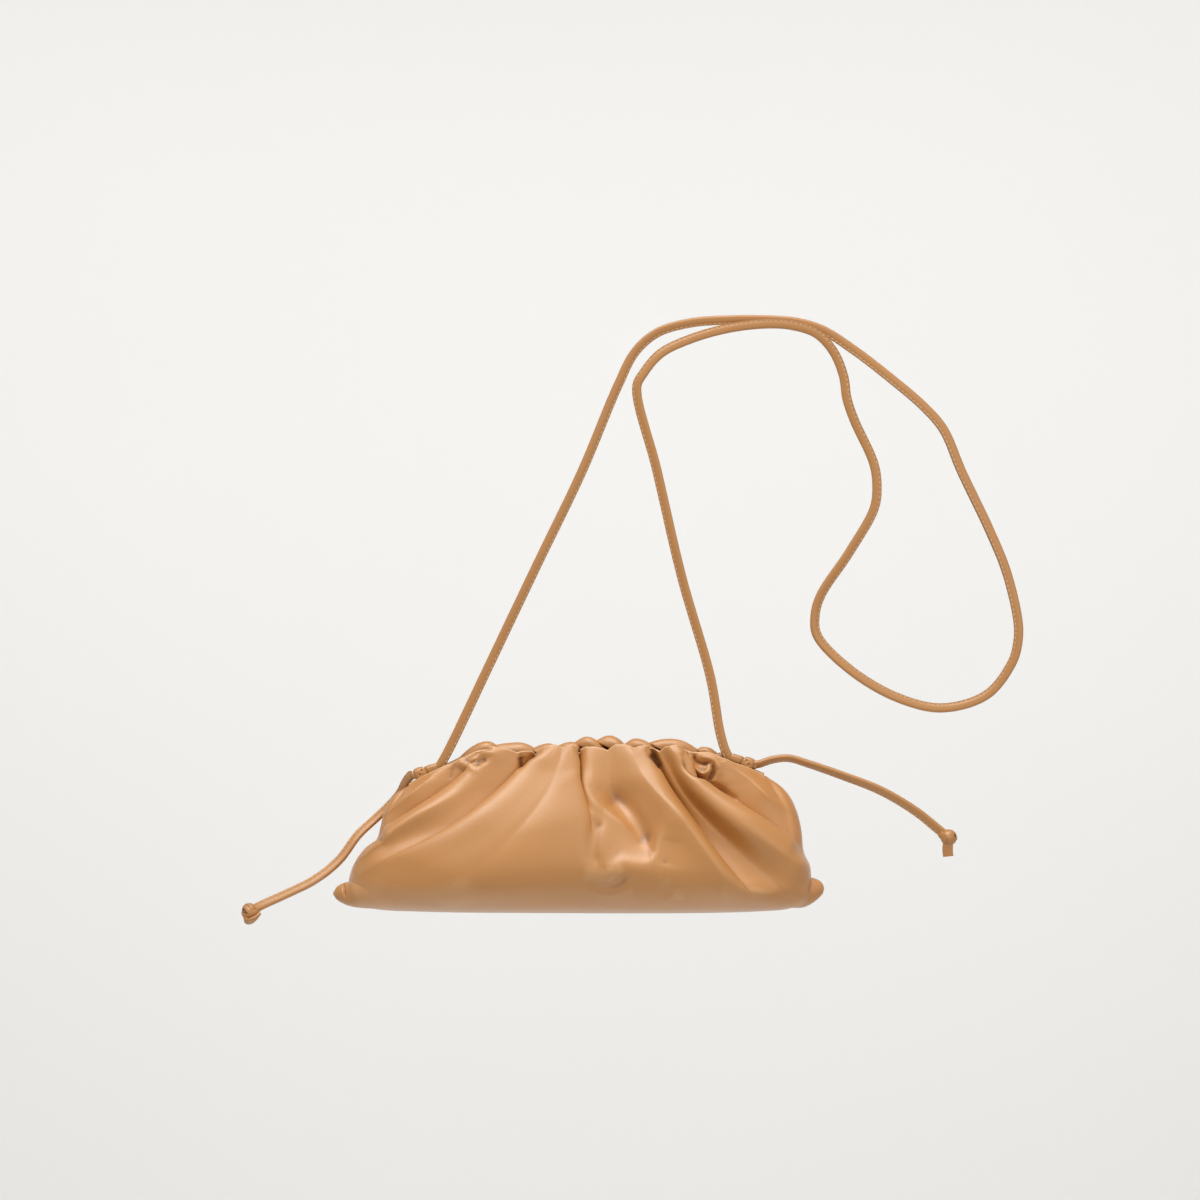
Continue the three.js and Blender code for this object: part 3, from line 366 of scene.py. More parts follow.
def panel_face(folds, steps, heights):
    """The outer face of a panel as columns of points from the seam to the lip, its depth along +Y."""
    mouth = folds[0][2][0], folds[-1][2][0]
    lines = [fold_line(fold, mouth) for fold in folds]
    fade = 1 - FADE_SHARE * ease((FADE_START - heights) / FADE_LENGTH)
    corner = np.cos(math.pi / 2 * np.minimum(1, heights / ROUND_SHARE))[None, :, None]
    face = []
    for k, ((a, share_a), (b, share_b)) in enumerate(zip(lines, lines[1:])):
        u = crowded(steps, folds[k][1], folds[k + 1][0])[0 if k == 0 else 1:, None]
        p, q = spline(a, heights)[None], spline(b, heights)[None]
        start, end = folds[k][1] * fade, folds[k + 1][0] * fade
        rising, settling = 1 - np.cos(math.pi / 2 * u), np.sin(math.pi / 2 * u)
        along = u + end * (settling - u) + start * (rising - u)
        deep = ease(u) + end * (rising - ease(u)) + start * (settling - ease(u))
        points = p + (q - p) * along[..., None]
        points[..., 1] = p[..., 1] + (q - p)[..., 1] * deep
        chord = a[0] + (b[0] - a[0]) * along[..., None]
        face.append(points + (seam_at(share_a + (share_b - share_a) * along) - chord) * corner)
    return np.concatenate(face)


def outwards(face, passes):
    """Directions out of a face, evened out over the neighbours."""
    across, upwards = np.gradient(face, axis=0), np.gradient(face, axis=1)
    normals = unit(np.cross(upwards, across))
    for _ in range(passes):
        padded = np.pad(normals, ((1, 1), (1, 1), (0, 0)), mode="edge")
        normals = unit(2 * normals + padded[2:, 1:-1] + padded[:-2, 1:-1] + padded[1:-1, 2:] + padded[1:-1, :-2])
    return normals


def nearest(line, face):
    """The nearest place on a line, seen from the front, for each point of a face: its distance, the way from it,
    its place in the line, counted in points, and the side of it on which the point lies."""
    line, spot = line[:, [0, 2]], face[..., [0, 2]]
    best = np.full(face.shape[:2], 1e9)
    way, place, side = np.zeros_like(spot), np.zeros_like(best), np.zeros_like(best)
    for i, (a, b) in enumerate(zip(line, line[1:])):
        step = b - a
        t = np.clip(((spot - a) @ step) / max(step @ step, 1e-9), 0, 1)
        away = spot - (a + t[..., None] * step)
        distance = np.linalg.norm(away, axis=-1)
        nearer = distance < best
        best = np.where(nearer, distance, best)
        way = np.where(nearer[..., None], away, way)
        place = np.where(nearer, i + t, place)
        side = np.where(nearer, step[0] * away[..., 1] - step[1] * away[..., 0], side)
    return best, way, place, side


# A pleat is weaker at its ends: what is left there, and the share of its length over which it weakens.
PLEAT_END = 0.35
PLEAT_FADE = 0.2
PLEAT_STOPS = 8


def pleat_height(face, out, left, right, line):
    """How far one small pleat lifts each point of a face, in millimetres."""
    stops = spline([place_of(*spot) for spot in line], np.linspace(0, 1, PLEAT_STOPS * len(line)))
    best, _, place, side = nearest(stops, face)
    share = place / (len(stops) - 1)
    ends = PLEAT_END + (1 - PLEAT_END) * ease(share / PLEAT_FADE) * ease((1 - share) / PLEAT_FADE)
    return out * ends * np.exp(-(best / np.where(side > 0, left, right)) ** 2)


def overlap(face, heights, column, over, out, drop, edge, reach, start, full):
    """One fold that lies over the next: how far it lifts each point, and how far it moves it over the crease."""
    best, way, place, _ = nearest(face[column], face)
    share = np.interp(place, np.arange(len(heights)), heights)
    ends = ease((share - start) / (full - start))
    front = (np.arange(len(face)) - column)[:, None] * over > 0
    rise = np.sqrt(np.clip(1 - (1 - np.minimum(1, best / edge)) ** 2, 0, 1))
    past = np.maximum(0, best - edge)
    lift = ends * np.where(front, out * rise * np.exp(-(past / reach) ** 2), -drop * np.exp(-best / BEHIND_REACH))
    ends = ends * ease((heights[-1] - heights) / SHIFT_FADE)[None, :]
    shift = ends * np.where(front, (edge + SHIFT_SPARE) * rise * np.exp(-(past / (3 * edge)) ** 2), 0)
    return lift, -way / np.maximum(best, 1e-6)[..., None] * shift[..., None]


def hollowness(face, normals, reach):
    """From -1 on a ridge to 1 in a crease, for the painted highlight on ridges and the painted shade in creases."""
    padded = np.pad(face, ((reach, reach), (reach, reach), (0, 0)), mode="edge")
    columns, rows = face.shape[:2]
    sides = [padded[dx:dx + columns, dz:dz + rows]
             for dx, dz in ((0, reach), (2 * reach, reach), (reach, 0), (reach, 2 * reach))]
    lift = ((sum(sides) / 4 - face) * normals).sum(axis=-1)
    return np.clip(lift / HOLLOW_DEPTH, -1, 1)


def select_only(piece):
    bpy.ops.object.select_all(action="DESELECT")
    piece.select_set(True)
    bpy.context.view_layer.objects.active = piece


def mesh_object(name, points, faces, place=(0, 0, 0), values=None, material=None, smooth=60):
    """A mesh in the row frame from points in millimetres, with its attributes and its material."""
    mesh = bpy.data.meshes.new(name)
    mesh.from_pydata(((np.asarray(points) + np.asarray(place)) * MM).tolist(), [], [tuple(f) for f in faces])
    mesh.validate()
    for key, numbers in (values or {}).items():
        mesh.attributes.new(key, "FLOAT", "POINT").data.foreach_set("value", np.asarray(numbers, np.float32))
    piece = bpy.data.objects.new(name, mesh)
    bpy.context.scene.collection.objects.link(piece)
    if material:
        mesh.materials.append(material)
    select_only(piece)
    bpy.ops.object.shade_smooth_by_angle(angle=math.radians(smooth))
    return piece


def settle(piece, node):
    """Puts a piece on the one body of the bag and in the place of a node."""
    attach(piece, BODY)
    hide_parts(node)
    return piece


def grid_faces(columns, rows, closed_rows=False, closed_columns=False):
    """Quads over a grid of points that is stored column by column."""
    i = np.arange(columns if closed_columns else columns - 1)[:, None]
    j = np.arange(rows if closed_rows else rows - 1)[None, :]
    i2, j2 = (i + 1) % columns, (j + 1) % rows
    quads = np.stack(np.broadcast_arrays(i * rows + j, i2 * rows + j, i2 * rows + j2, i * rows + j2), axis=-1)
    return quads.reshape(-1, 4).tolist()


def tube_faces(rings, sides):
    """Faces of a closed tube and of its two flat ends, all wound the same way."""
    ends = [list(range(sides)), [(rings - 1) * sides + j for j in reversed(range(sides))]]
    return grid_faces(rings, sides, closed_rows=True) + ends


def outward_faces(points, faces):
    """The same faces, turned if they point inwards."""
    p = np.asarray(points)
    volume = sum(float(np.dot(p[f[0]], np.cross(p[f[i]], p[f[i + 1]]))) for f in faces for i in range(1, len(f) - 1))
    return faces if volume > 0 else [list(reversed(f)) for f in faces]


def add_node(tree, kind, settings=None, inputs=None):
    """One node with its settings and its inputs, each a value or an output of another node."""
    node = tree.nodes.new(kind)
    for key, value in (settings or {}).items():
        setattr(node, key, value)
    return feed(tree, node, inputs or {})


def feed(tree, node, inputs):
    """Gives a node its inputs, each a value or an output of another node."""
    for key, value in inputs.items():
        if isinstance(value, bpy.types.NodeSocket):
            tree.links.new(value, node.inputs[key])
        else:
            node.inputs[key].default_value = value
    return node


def new_material(name):
    """A material with its nodes, its shader and the place on the object."""
    material = bpy.data.materials.new(name)
    material.use_nodes = True
    tree = material.node_tree
    spot = add_node(tree, "ShaderNodeTexCoord").outputs["Object"]
    return material, tree, tree.nodes["Principled BSDF"], spot


def nappa(name, tones, grain_mm):
    """Dyed and milled nappa: smooth drum-dyed lambskin, with painted shade in its creases and a painted highlight on
    its ridges.
    """
    material, tree, shader, spot = new_material(name)
    # tones: painted shade for the creases, the leather's own colour, painted highlight for the ridges
    deep, body, painted_highlight = (linear(code) for code in tones)
    # cloudy dye, patches of about 30 mm
    clouds = add_node(tree, "ShaderNodeTexNoise", None,
                      {"Vector": spot, "Scale": 1 / 0.03, "Detail": 3.0, "Roughness": 0.55})
    clouds = add_node(tree, "ShaderNodeMapRange", None,
                      {"Value": clouds.outputs["Fac"], "From Min": 0.3, "From Max": 0.7, "To Min": 0.0, "To Max": 1.0})
    tone = add_node(tree, "ShaderNodeMix", {"data_type": "RGBA"},
                    {"Factor": clouds.outputs["Result"], "A": body, "B": tuple(0.94 * c for c in body[:3]) + (1.0,)})
    # painted shade darkens the creases, and a painted highlight pales the ridges and the lip's edge
    colour = tone.outputs["Result"]
    hollow = add_node(tree, "ShaderNodeAttribute", {"attribute_name": "hollow"}).outputs["Fac"]
    for start, end, most, shade in ((0.2, 1.1, 0.85, deep), (-0.6, -2.2, 1.0, painted_highlight)):
        share = add_node(tree, "ShaderNodeMapRange", None,
                         {"Value": hollow, "From Min": start, "From Max": end, "To Min": 0.0, "To Max": most})
        colour = add_node(tree, "ShaderNodeMix", {"data_type": "RGBA"},
                          {"Factor": share.outputs["Result"], "A": colour, "B": shade}).outputs["Result"]
    # hair-cell grain, drawn as coarse as it shows
    grain = add_node(tree, "ShaderNodeTexVoronoi", {"feature": "SMOOTH_F1"},
                     {"Vector": spot, "Scale": 1 / (grain_mm * MM), "Smoothness": 0.6})
    # fine wrinkles of the soft skin, about 4 mm apart
    wrinkle = add_node(tree, "ShaderNodeTexNoise", None,
                       {"Vector": spot, "Scale": 1 / 0.004, "Detail": 4.0, "Roughness": 0.6, "Distortion": 0.4})
    height = add_node(tree, "ShaderNodeMath", {"operation": "MULTIPLY_ADD"},
                      {0: wrinkle.outputs["Fac"], 1: 0.9, 2: grain.outputs["Distance"]})
    bump = add_node(tree, "ShaderNodeBump", None,
                    {"Strength": 0.16, "Distance": 0.00018, "Height": height.outputs["Value"]})
    shine = add_node(tree, "ShaderNodeMapRange", None,
                     {"Value": wrinkle.outputs["Fac"], "From Min": 0.25, "From Max": 0.75,
                      "To Min": 0.44, "To Max": 0.54})
    feed(tree, shader, {
        "Base Color": colour, "Roughness": shine.outputs["Result"], "Normal": bump.outputs["Normal"], "IOR": 1.5,
        "Specular IOR Level": 1.0, "Specular Tint": linear("#FFF2E0"), "Sheen Weight": 0.05, "Sheen Roughness": 0.5,
        "Coat Weight": 0.85, "Coat Roughness": 0.42})
    return material


def waxed_thread(name, tones):
    """Waxed polyester sewing thread: matt, a tone paler than the leather, twisted in plies."""
    material, tree, shader, spot = new_material(name)
    # plies of 0.8 mm, coarser than they are so that they show
    plies = add_node(tree, "ShaderNodeTexNoise", None, {"Vector": spot, "Scale": 1 / 0.0008, "Detail": 2.0})
    colour = add_node(tree, "ShaderNodeMix", {"data_type": "RGBA"},
                      {"Factor": plies.outputs["Fac"], "A": linear(tones[0]), "B": linear(tones[1])})
    bump = add_node(tree, "ShaderNodeBump", None,
                    {"Strength": 0.4, "Distance": 0.0001, "Height": plies.outputs["Fac"]})
    feed(tree, shader, {"Base Color": colour.outputs["Result"], "Normal": bump.outputs["Normal"], "Roughness": 0.7})
    return material


def painted_paper(name, tone):
    """Seamless studio paper: matt and nearly white, with a faint mottle."""
    material, tree, shader, spot = new_material(name)
    # patches of about 330 mm
    mottle = add_node(tree, "ShaderNodeTexNoise", None, {"Vector": spot, "Scale": 3.0, "Detail": 2.0})
    pale = linear(tone)
    colour = add_node(tree, "ShaderNodeMix", {"data_type": "RGBA"},
                      {"Factor": mottle.outputs["Fac"], "A": pale, "B": tuple(0.985 * c for c in pale[:3]) + (1.0,)})
    feed(tree, shader, {"Base Color": colour.outputs["Result"], "Roughness": 0.95, "Specular IOR Level": 0.1})
    return material


def leather(key):
    """The leathers and the thread of this bag, each made once."""
    settings = bpy.context.scene.pouch_bag
    if key in bpy.data.materials:
        return bpy.data.materials[key]
    # tones: painted shade for the creases, the leather's own colour, painted highlight for the ridges
    if key == "caramel_nappa":
        return nappa(key, ("#6C3A12", "#C2813A", "#D9AA78"), settings.grain_size / MM)
    if key == "lace_nappa":
        return nappa(key, ("#663812", "#B97B35", "#C8945C"), settings.grain_size / MM)
    return waxed_thread(key, ("#DDB388", "#C79A69"))


# The panels

def lip_rows(outer, lean, radius, count):
    """Rows of points that roll over from the outer face of a lip to the inner one."""
    lip = outer[:, -1]
    normal = np.array([0, math.cos(lean), math.sin(lean)]) * radius
    up = np.array([0, -math.sin(lean), math.cos(lean)]) * radius
    return np.stack([lip + normal * (math.cos(turn) - 1) + up * math.sin(turn)
                     for turn in np.linspace(0, math.pi, count)], axis=1)


def panel_piece(name, folds, steps, rows, dents, pleats, overlaps, roll, sign):
    """One leather panel with its wall and its rolled lip."""
    settings = bpy.context.scene.pouch_bag
    round_rows, rise_rows = rows
    top = roll["top"]
    climb = 1 - (1 - np.linspace(0, 1, rise_rows + 1)[1:]) ** ROW_CROWDING
    heights = np.concatenate([np.linspace(0, ROUND_SHARE, round_rows + 1), ROUND_SHARE + (top - ROUND_SHARE) * climb])
    outer = panel_face(folds, steps, heights)
    fade = ease(heights / ROUND_SHARE)[None, :]
    for across, up, wide, tall, out in dents:
        dx = (outer[..., 0] - across * HALF_WIDTH) / BODY_HEIGHT
        dz = (outer[..., 2] - up * BODY_HEIGHT) / BODY_HEIGHT
        outer[..., 1] += out * HALF_DEPTH * np.exp(-(dx / wide) ** 2 - (dz / tall) ** 2) * fade
    normals = outwards(outer, passes=6)
    if roll["edge"]:
        # the scalloped edge pulls the top of the folds up or down
        across, up = np.array(roll["edge"]).T
        change = np.interp(outer[:, -1, 0], across * HALF_WIDTH, up * BODY_HEIGHT) - outer[:, -1, 2]
        outer[..., 2] += change[:, None] * ease((heights - top + LIP_PULL) / LIP_PULL)[None, :]
    lift = sum((pleat_height(outer, *pleat[1:]) for pleat in pleats), np.zeros(outer.shape[:2])) * fade
    for fold in overlaps:
        rise, shift = overlap(outer, heights, fold[1] * steps, *fold[2:])
        lift += rise * fade
        outer[..., [0, 2]] += shift * fade[..., None]
    outer = outer + normals * lift[..., None]
    outer[..., 1] = np.maximum(outer[..., 1], 0) + SEAM_GAP / 2
    normals = outwards(outer, passes=4)
    normals[:, 0, 1] = 0
    normals = unit(normals)
    # painted shade in the creases and painted highlight on the ridges of the face
    hollow = hollowness(outer, normals, reach=3)

    wall = settings.wall / MM
    lip = lip_rows(outer, roll["lean"], roll["radius"], LIP_ROWS)
    thick = np.linalg.norm(lip[:, 0] - lip[:, -1], axis=-1)[:, None]
    share = ease((heights - (top - LIP_BLEND)) / LIP_BLEND)[None, :]
    inner = outer - normals * (wall + (thick - wall) * share)[..., None]
    inner[..., 1] = np.maximum(inner[..., 1], SEAM_GAP / 2)
    inner[:, -1] = lip[:, -1]
    inner = inner[:, ::-INNER_STRIDE]
    strip = np.concatenate([outer, lip[:, 1:-1], inner], axis=1)
    # a painted highlight runs along the lip's edge up to the turn inwards
    edge = np.interp(np.arange(1, LIP_ROWS - 1), (0, 0.35 * LIP_ROWS, 0.6 * LIP_ROWS),
                     (roll["painted_highlight"], roll["painted_highlight"], -0.2))
    edge = np.tile(edge, (len(outer), 1))
    # painted shade and highlight of the face, the painted highlight of the lip's edge, and painted shade inside
    shade = np.concatenate([hollow, edge, np.full(inner.shape[:2], INNER_SHADE)], axis=1)
    columns, around = strip.shape[:2]
    points = strip.reshape(-1, 3)
    points[:, 1] *= sign
    faces = grid_faces(columns, around, closed_rows=True)
    rows_out, rows_in = outer.shape[1], inner.shape[1]
    for column in (0, columns - 1):
        ring = [column * around + j for j in range(around)]
        ends = [ring[INNER_STRIDE * j:INNER_STRIDE * (j + 1) + 1] + [ring[around - 2 - j], ring[around - 1 - j]]
                for j in range(rows_in - 1)]
        ends.append(ring[rows_out - 1:around - rows_in + 1])
        faces += ends if column == 0 else [list(reversed(f)) for f in ends]
    return mesh_object(name, points, outward_faces(points, faces), BODY_PLACE, {"hollow": shade.reshape(-1)},
                       leather("caramel_nappa"), 80)


# How a gather opens at its left end: way inwards in mm and share of the radius.
GATHER_MOUTH = [(3.4, 0.1), (3.0, 0.42), (2.0, 0.62), (0.8, 0.74), (0.1, 0.79), (-0.3, 0.85), (-0.35, 0.92),
                (-0.1, 0.97)]


def gathers_piece(name):
    """The gathers of the back lip: soft hoods, each of which opens over the right end of the one before."""
    stations, sides = 40, 44
    turn = np.linspace(0, 2 * math.pi, sides, endpoint=False)
    low = (1 - np.cos(turn)) / 2
    points, faces, tones = [], [], []
    for k, (left, peak, right, rim, crest, end, radius, lean) in enumerate(BACK_GATHERS):
        share, middle = np.linspace(0, 1, stations), (peak - left) / (right - left)
        rising, falling = np.clip(share / middle, 0, 1), np.clip((share - middle) / (1 - middle), 0, 1)
        top = (rim + (crest - rim) * np.sin(math.pi / 2 * rising) - (crest - end) * falling ** 2) * BODY_HEIGHT
        size = radius * (0.86 + 0.14 * np.sin(math.pi / 2 * rising) - 0.36 * falling ** 1.6)
        size = size * np.sqrt(np.clip(1 - (np.maximum(0, share - 0.9) / 0.1) ** 2, 0.01, 1))
        x = (left + (right - left) * share) * HALF_WIDTH
        # the mouth of the hood, from its hollow out to the rim
        inside = np.array(GATHER_MOUTH)
        x = np.concatenate([x[0] + inside[:, 0], x])
        centre = np.concatenate([np.full(len(inside), top[0] - size[0]), top - size])
        size = np.concatenate([size[0] * inside[:, 1], size])
        share = np.concatenate([np.zeros(len(inside)), share])
        uneven = 1 + 0.035 * np.sin(3 * turn + 1.7 * k)[None, :] + 0.02 * np.sin(9 * share[:, None] + 2 * turn + k)
        slant = lean * low[None, :] * (1 - share[:, None]) ** 1.3
        depth = 2.0 + 3.0 * ease((0.72 - abs((left + right) / 2)) / 0.3)
        grid = np.stack([x[:, None] + slant, depth - size[:, None] * uneven * np.sin(turn) * 0.92,
                         centre[:, None] + size[:, None] * uneven * np.cos(turn)], axis=-1)
        block = outward_faces(grid.reshape(-1, 3), tube_faces(len(x), sides))
        start = sum(len(p) for p in points)
        faces += [[start + i for i in f] for f in block]
        points.append(grid.reshape(-1, 3))
        # painted shade inside each hood's mouth, on its underside and on its right end, where it tucks under the next
        tone = np.empty((len(x), sides))
        tone[:len(inside)] = np.linspace(1, -0.6, len(inside))[:, None]
        tone[len(inside):] = 0.5 * falling[:, None] ** 2 - 0.25 * np.cos(turn)
        tones.append(tone.reshape(-1))
    return mesh_object(name, np.concatenate(points), faces, BODY_PLACE, {"hollow": np.concatenate(tones)},
                       leather("caramel_nappa"), 60)


def panel_under(panel, side, points):
    """How far out a panel's face is over some points, a little under it, and its painted shade and highlight there."""
    mesh = bpy.data.objects[panel].data
    tree = BVHTree.FromPolygons([v.co for v in mesh.vertices], [f.vertices for f in mesh.polygons])
    found = []
    for x, _, z in (points + BODY_PLACE) * MM:
        spot, _, face, _ = tree.ray_cast(Vector((x, side * 0.1, z)), Vector((0, -side, 0)))
        if spot:
            shade = mesh.attributes["hollow"].data[mesh.polygons[face].vertices[0]].value
            found.append((abs(spot.y) / MM - CORNER_SINK, shade))
        else:
            found.append((0, 0))
    return np.array(found).T


def corner_piece(name, form, crease_place):
    """One pinched corner: a soft lobe of folded leather that grows out of the pouch beside its base."""
    stations, sides = 90, 72
    share = 1 - (1 - np.linspace(0, 1, stations)) ** 1.6
    rows = np.array(form)
    across, upper, lower, thick = (spline(np.stack([rows[:, 0], rows[:, k], rows[:, 0] * 0], axis=1), share)[:, 1]
                                   for k in range(4))
    turn = np.linspace(0, 2 * math.pi, sides, endpoint=False)
    middle, half = (upper + lower) / 2 * BODY_HEIGHT, (upper - lower) / 2 * BODY_HEIGHT
    x = np.repeat(across[:, None] * HALF_WIDTH, sides, axis=1)
    y = thick[:, None] * np.sign(np.sin(turn)) * np.abs(np.sin(turn)) ** 0.8
    z = middle[:, None] + half[:, None] * np.cos(turn)[None, :]
    grid = np.stack([x, y, z], axis=-1)
    # a soft crease curls into the lobe from the notch above it
    reach = np.abs(grid[..., 0]) / HALF_WIDTH
    up = grid[..., 2] / BODY_HEIGHT
    crease = np.exp(-((reach - crease_place + 0.12 * (0.17 - up)) / 0.006) ** 2) * ease((up - 0.07) / 0.06)
    grid[..., 1] *= 1 - 0.2 * crease
    # it flows into the panels where they are as deep; painted shade lies in its crease, and where it meets a panel it
    # takes the panel's painted shade and highlight
    tone = crease * 0.7
    for side, panel in ((1, "back_leather"), (-1, "front_leather")):
        mine = np.sign(grid[..., 1]) == side
        depth, shade = panel_under(panel, side, grid[mine])
        own = np.abs(grid[mine][:, 1])
        near = np.clip(1 - np.abs(own - depth) / CORNER_UNION, 0, 1) * (depth > 0)
        grid[mine, 1] = side * (np.maximum(own, depth) + near ** 2 * CORNER_UNION / 4)
        tone[mine] += shade * np.maximum(near, own < depth)
    points = grid.reshape(-1, 3)
    faces = outward_faces(points, tube_faces(stations, sides))
    return mesh_object(name, points, faces, BODY_PLACE, {"hollow": tone.reshape(-1)}, leather("caramel_nappa"), 80)


# The laces

LACE_SPACING = 1.4


def lace_frames(points, turns):
    """Tangent, width and thickness directions along a lace, turned about its length as the table says."""
    tangent = unit(np.gradient(points, axis=0))
    wide = unit(np.cross(np.array([0.0, 1.0, 0.0]), tangent))
    through = np.cross(tangent, wide)
    share = np.linspace(0, 1, len(points))
    stops, degrees = zip(*turns)
    angle = np.radians(np.interp(share, stops, degrees))
    angle = np.convolve(np.pad(angle, 8, mode="edge"), np.ones(17) / 17, mode="valid")[:, None]
    return tangent, wide * np.cos(angle) + through * np.sin(angle), through * np.cos(angle) - wide * np.sin(angle)


def lace_mesh(points, frames, width, thickness):
    """Points, faces and tones of a folded lace along a line: darker on its stitched edge, with painted shade in the
    groove that holds the thread.
    """
    _, wide, through = frames
    section = LACE_SECTION + [(a, -h) for a, h in reversed(LACE_SECTION[1:])]
    ring = np.array(section) * [width / 2, thickness / 2]
    grid = points[:, None] + wide[:, None] * ring[None, :, :1] + through[:, None] * ring[None, :, 1:]
    tone = np.array([0.8 if a > 0.9 else 0.45 if 0.5 < a < 0.74 else -0.15 if a > -0.4 else -0.4
                     for a, _ in section])
    return grid.reshape(-1, 3), tube_faces(len(points), len(section)), np.tile(tone, len(points))


# Where a stitch lies, as shares of half the width and of half the thickness, how deep its ends dip in and half its
# width, in mm, and the half lengths to its ends and of its body, as shares of the pitch.
STITCH_ACROSS, STITCH_OUT, STITCH_DIP, STITCH_SIZE = 0.62, 0.86, 0.25, 0.23
STITCH_TIP, STITCH_BODY = 0.38, 0.26


def stitches(points, frames, width, thickness, pitch):
    """One small stitch after the other along both faces of a lace, near its stitched edge."""
    tangent, wide, through = frames
    along = lengths(points)
    verts, faces = [], []
    tip, body, size = STITCH_TIP * pitch, STITCH_BODY * pitch, STITCH_SIZE
    for stop in np.arange(pitch, along[-1] - pitch, pitch):
        at = [read_off(stop, along, v) for v in (points, tangent, wide, through)]
        for face in (1, -1):
            p = at[0] + at[2] * STITCH_ACROSS * width / 2 + at[3] * face * (STITCH_OUT * thickness / 2)
            start = len(verts)
            verts.append(p - at[1] * tip - at[3] * face * STITCH_DIP)
            for shift in (-body, body):
                for a, h in ((size, 0), (0, size * 0.7), (-size, 0), (0, -size * 0.7)):
                    verts.append(p + at[1] * shift + at[2] * a + at[3] * face * h)
            verts.append(p + at[1] * tip - at[3] * face * STITCH_DIP)
            quads = [[1 + j, 1 + (j + 1) % 4, 5 + (j + 1) % 4, 5 + j] for j in range(4)]
            ends = [[0, 1 + (j + 1) % 4, 1 + j] for j in range(4)] + [[9, 5 + j, 5 + (j + 1) % 4] for j in range(4)]
            block = [[start + i for i in f] for f in quads + ends]
            faces += block if face > 0 else [list(reversed(f)) for f in block]
    return np.array(verts), faces


def lace_piece(name, route, turns, replaces):
    """A lace with its thread."""
    settings = bpy.context.scene.pouch_bag
    width, thickness = settings.lace_width / MM, settings.lace_thickness / MM
    points, length = even_points(route, LACE_SPACING)
    frames = lace_frames(points, turns)
    verts, faces, tone = lace_mesh(points, frames, width, thickness)
    piece = mesh_object(name, verts, outward_faces(verts, faces), values={"hollow": tone},
                        material=leather("lace_nappa"), smooth=50)
    verts, faces = stitches(points, frames, width, thickness, settings.stitch_pitch / MM)
    thread = mesh_object(name + "_thread", verts, faces, material=leather("waxed_thread"), smooth=70)
    for part in (piece, thread):
        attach(part, BODY)
    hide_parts(replaces)


# The knots

def knot_frame(inner, outer):
    """Origin and axes of a strap knot that lies along the top edge of a shoulder."""
    a, b = place_of(*inner), place_of(*outer)
    along = unit(b - a)
    lift = np.cross(np.array([0.0, 1.0, 0.0]), along) * -np.sign(along[0])
    return a + lift * KNOT_LIFT, along, lift


# A strap knot: its length, half its height, half its depth and how far it lies above the shoulder, in mm, how
# square it is, and its form from end to end as (share of the length, share of the half height).
KNOT_LENGTH, KNOT_HIGH, KNOT_DEEP, KNOT_LIFT = 13.0, 2.7, 2.55, 3.0
KNOT_SQUARE = 2.6
STRAP_KNOT_FORM = [
    (0, 0), (0.0, 0.5), (0.015, 0.68), (0.05, 0.78), (0.15, 0.82), (0.3, 0.83), (0.4, 0.8), (0.435, 0.7),
    (0.45, 0.62), (0.47, 0.72), (0.5, 0.93), (0.56, 1.0), (0.68, 1.02), (0.78, 0.98), (0.84, 0.86),
    (0.86, 0.66), (0.88, 0.58), (0.91, 0.6), (0.96, 0.55), (0.99, 0.4), (1.0, 0.2), (1.0, 0),
]


def strap_knot_piece(name, inner, outer, replaces):
    """Two wrapped bands of the lace with a slanting gap between them, and the bight of the tail."""
    origin, along, lift = knot_frame(inner, outer)
    steps, sides = 90, 56
    stops = np.linspace(0, 1, len(STRAP_KNOT_FORM))
    shares = np.linspace(0, 1, steps)
    form = read_off(shares, stops, STRAP_KNOT_FORM)
    turn = np.linspace(0, 2 * math.pi, sides, endpoint=False)
    slant = 0.05 * np.sin(turn + 0.6)[None, :] * np.sin(math.pi * form[:, :1])
    position = (form[:, :1] + slant) * KNOT_LENGTH
    square = np.abs(np.cos(turn)) ** KNOT_SQUARE + np.abs(np.sin(turn)) ** KNOT_SQUARE
    square = 1 / square ** (1 / KNOT_SQUARE)
    radius = form[:, 1:] * square[None, :]
    lobes = 1 + 0.03 * np.sin(2 * turn + 1.2)[None, :] * np.sin(math.pi * form[:, :1])
    high, deep = KNOT_HIGH * radius * lobes, KNOT_DEEP * radius * lobes
    # stitch holes and the overlapping end on the outer band
    front = -np.sin(turn)[None, :]
    for spot, height in ((0.6, 0.35), (0.72, -0.2)):
        hole = np.exp(-((form[:, :1] - spot) / 0.028) ** 2 - ((np.cos(turn)[None, :] - height) / 0.16) ** 2)
        deep = deep - 0.9 * hole * (front > 0)
    fold = np.exp(-((form[:, :1] - 0.66 + 0.1 * np.cos(turn)[None, :]) / 0.02) ** 2)
    deep = deep - 0.25 * fold
    grid = (origin + along * position[..., None] + lift * (high * np.cos(turn)[None, :])[..., None]
            + np.array([0, 1, 0]) * (deep * np.sin(turn)[None, :])[..., None])
    points = grid.reshape(-1, 3)
    faces = grid_faces(steps, sides, closed_rows=True)
    # painted shade in the gap between the bands, at the knot's ends and along the fold of the overlapping end
    shade = np.clip((0.74 - form[:, 1:]) * 2.2, -0.3, 1) * np.ones((1, sides)) + 0.35 * fold
    piece = mesh_object(name, points, outward_faces(points, faces), BODY_PLACE, {"hollow": shade.reshape(-1)},
                        leather("lace_nappa"), 60)
    tidy(piece)
    settle(piece, replaces)


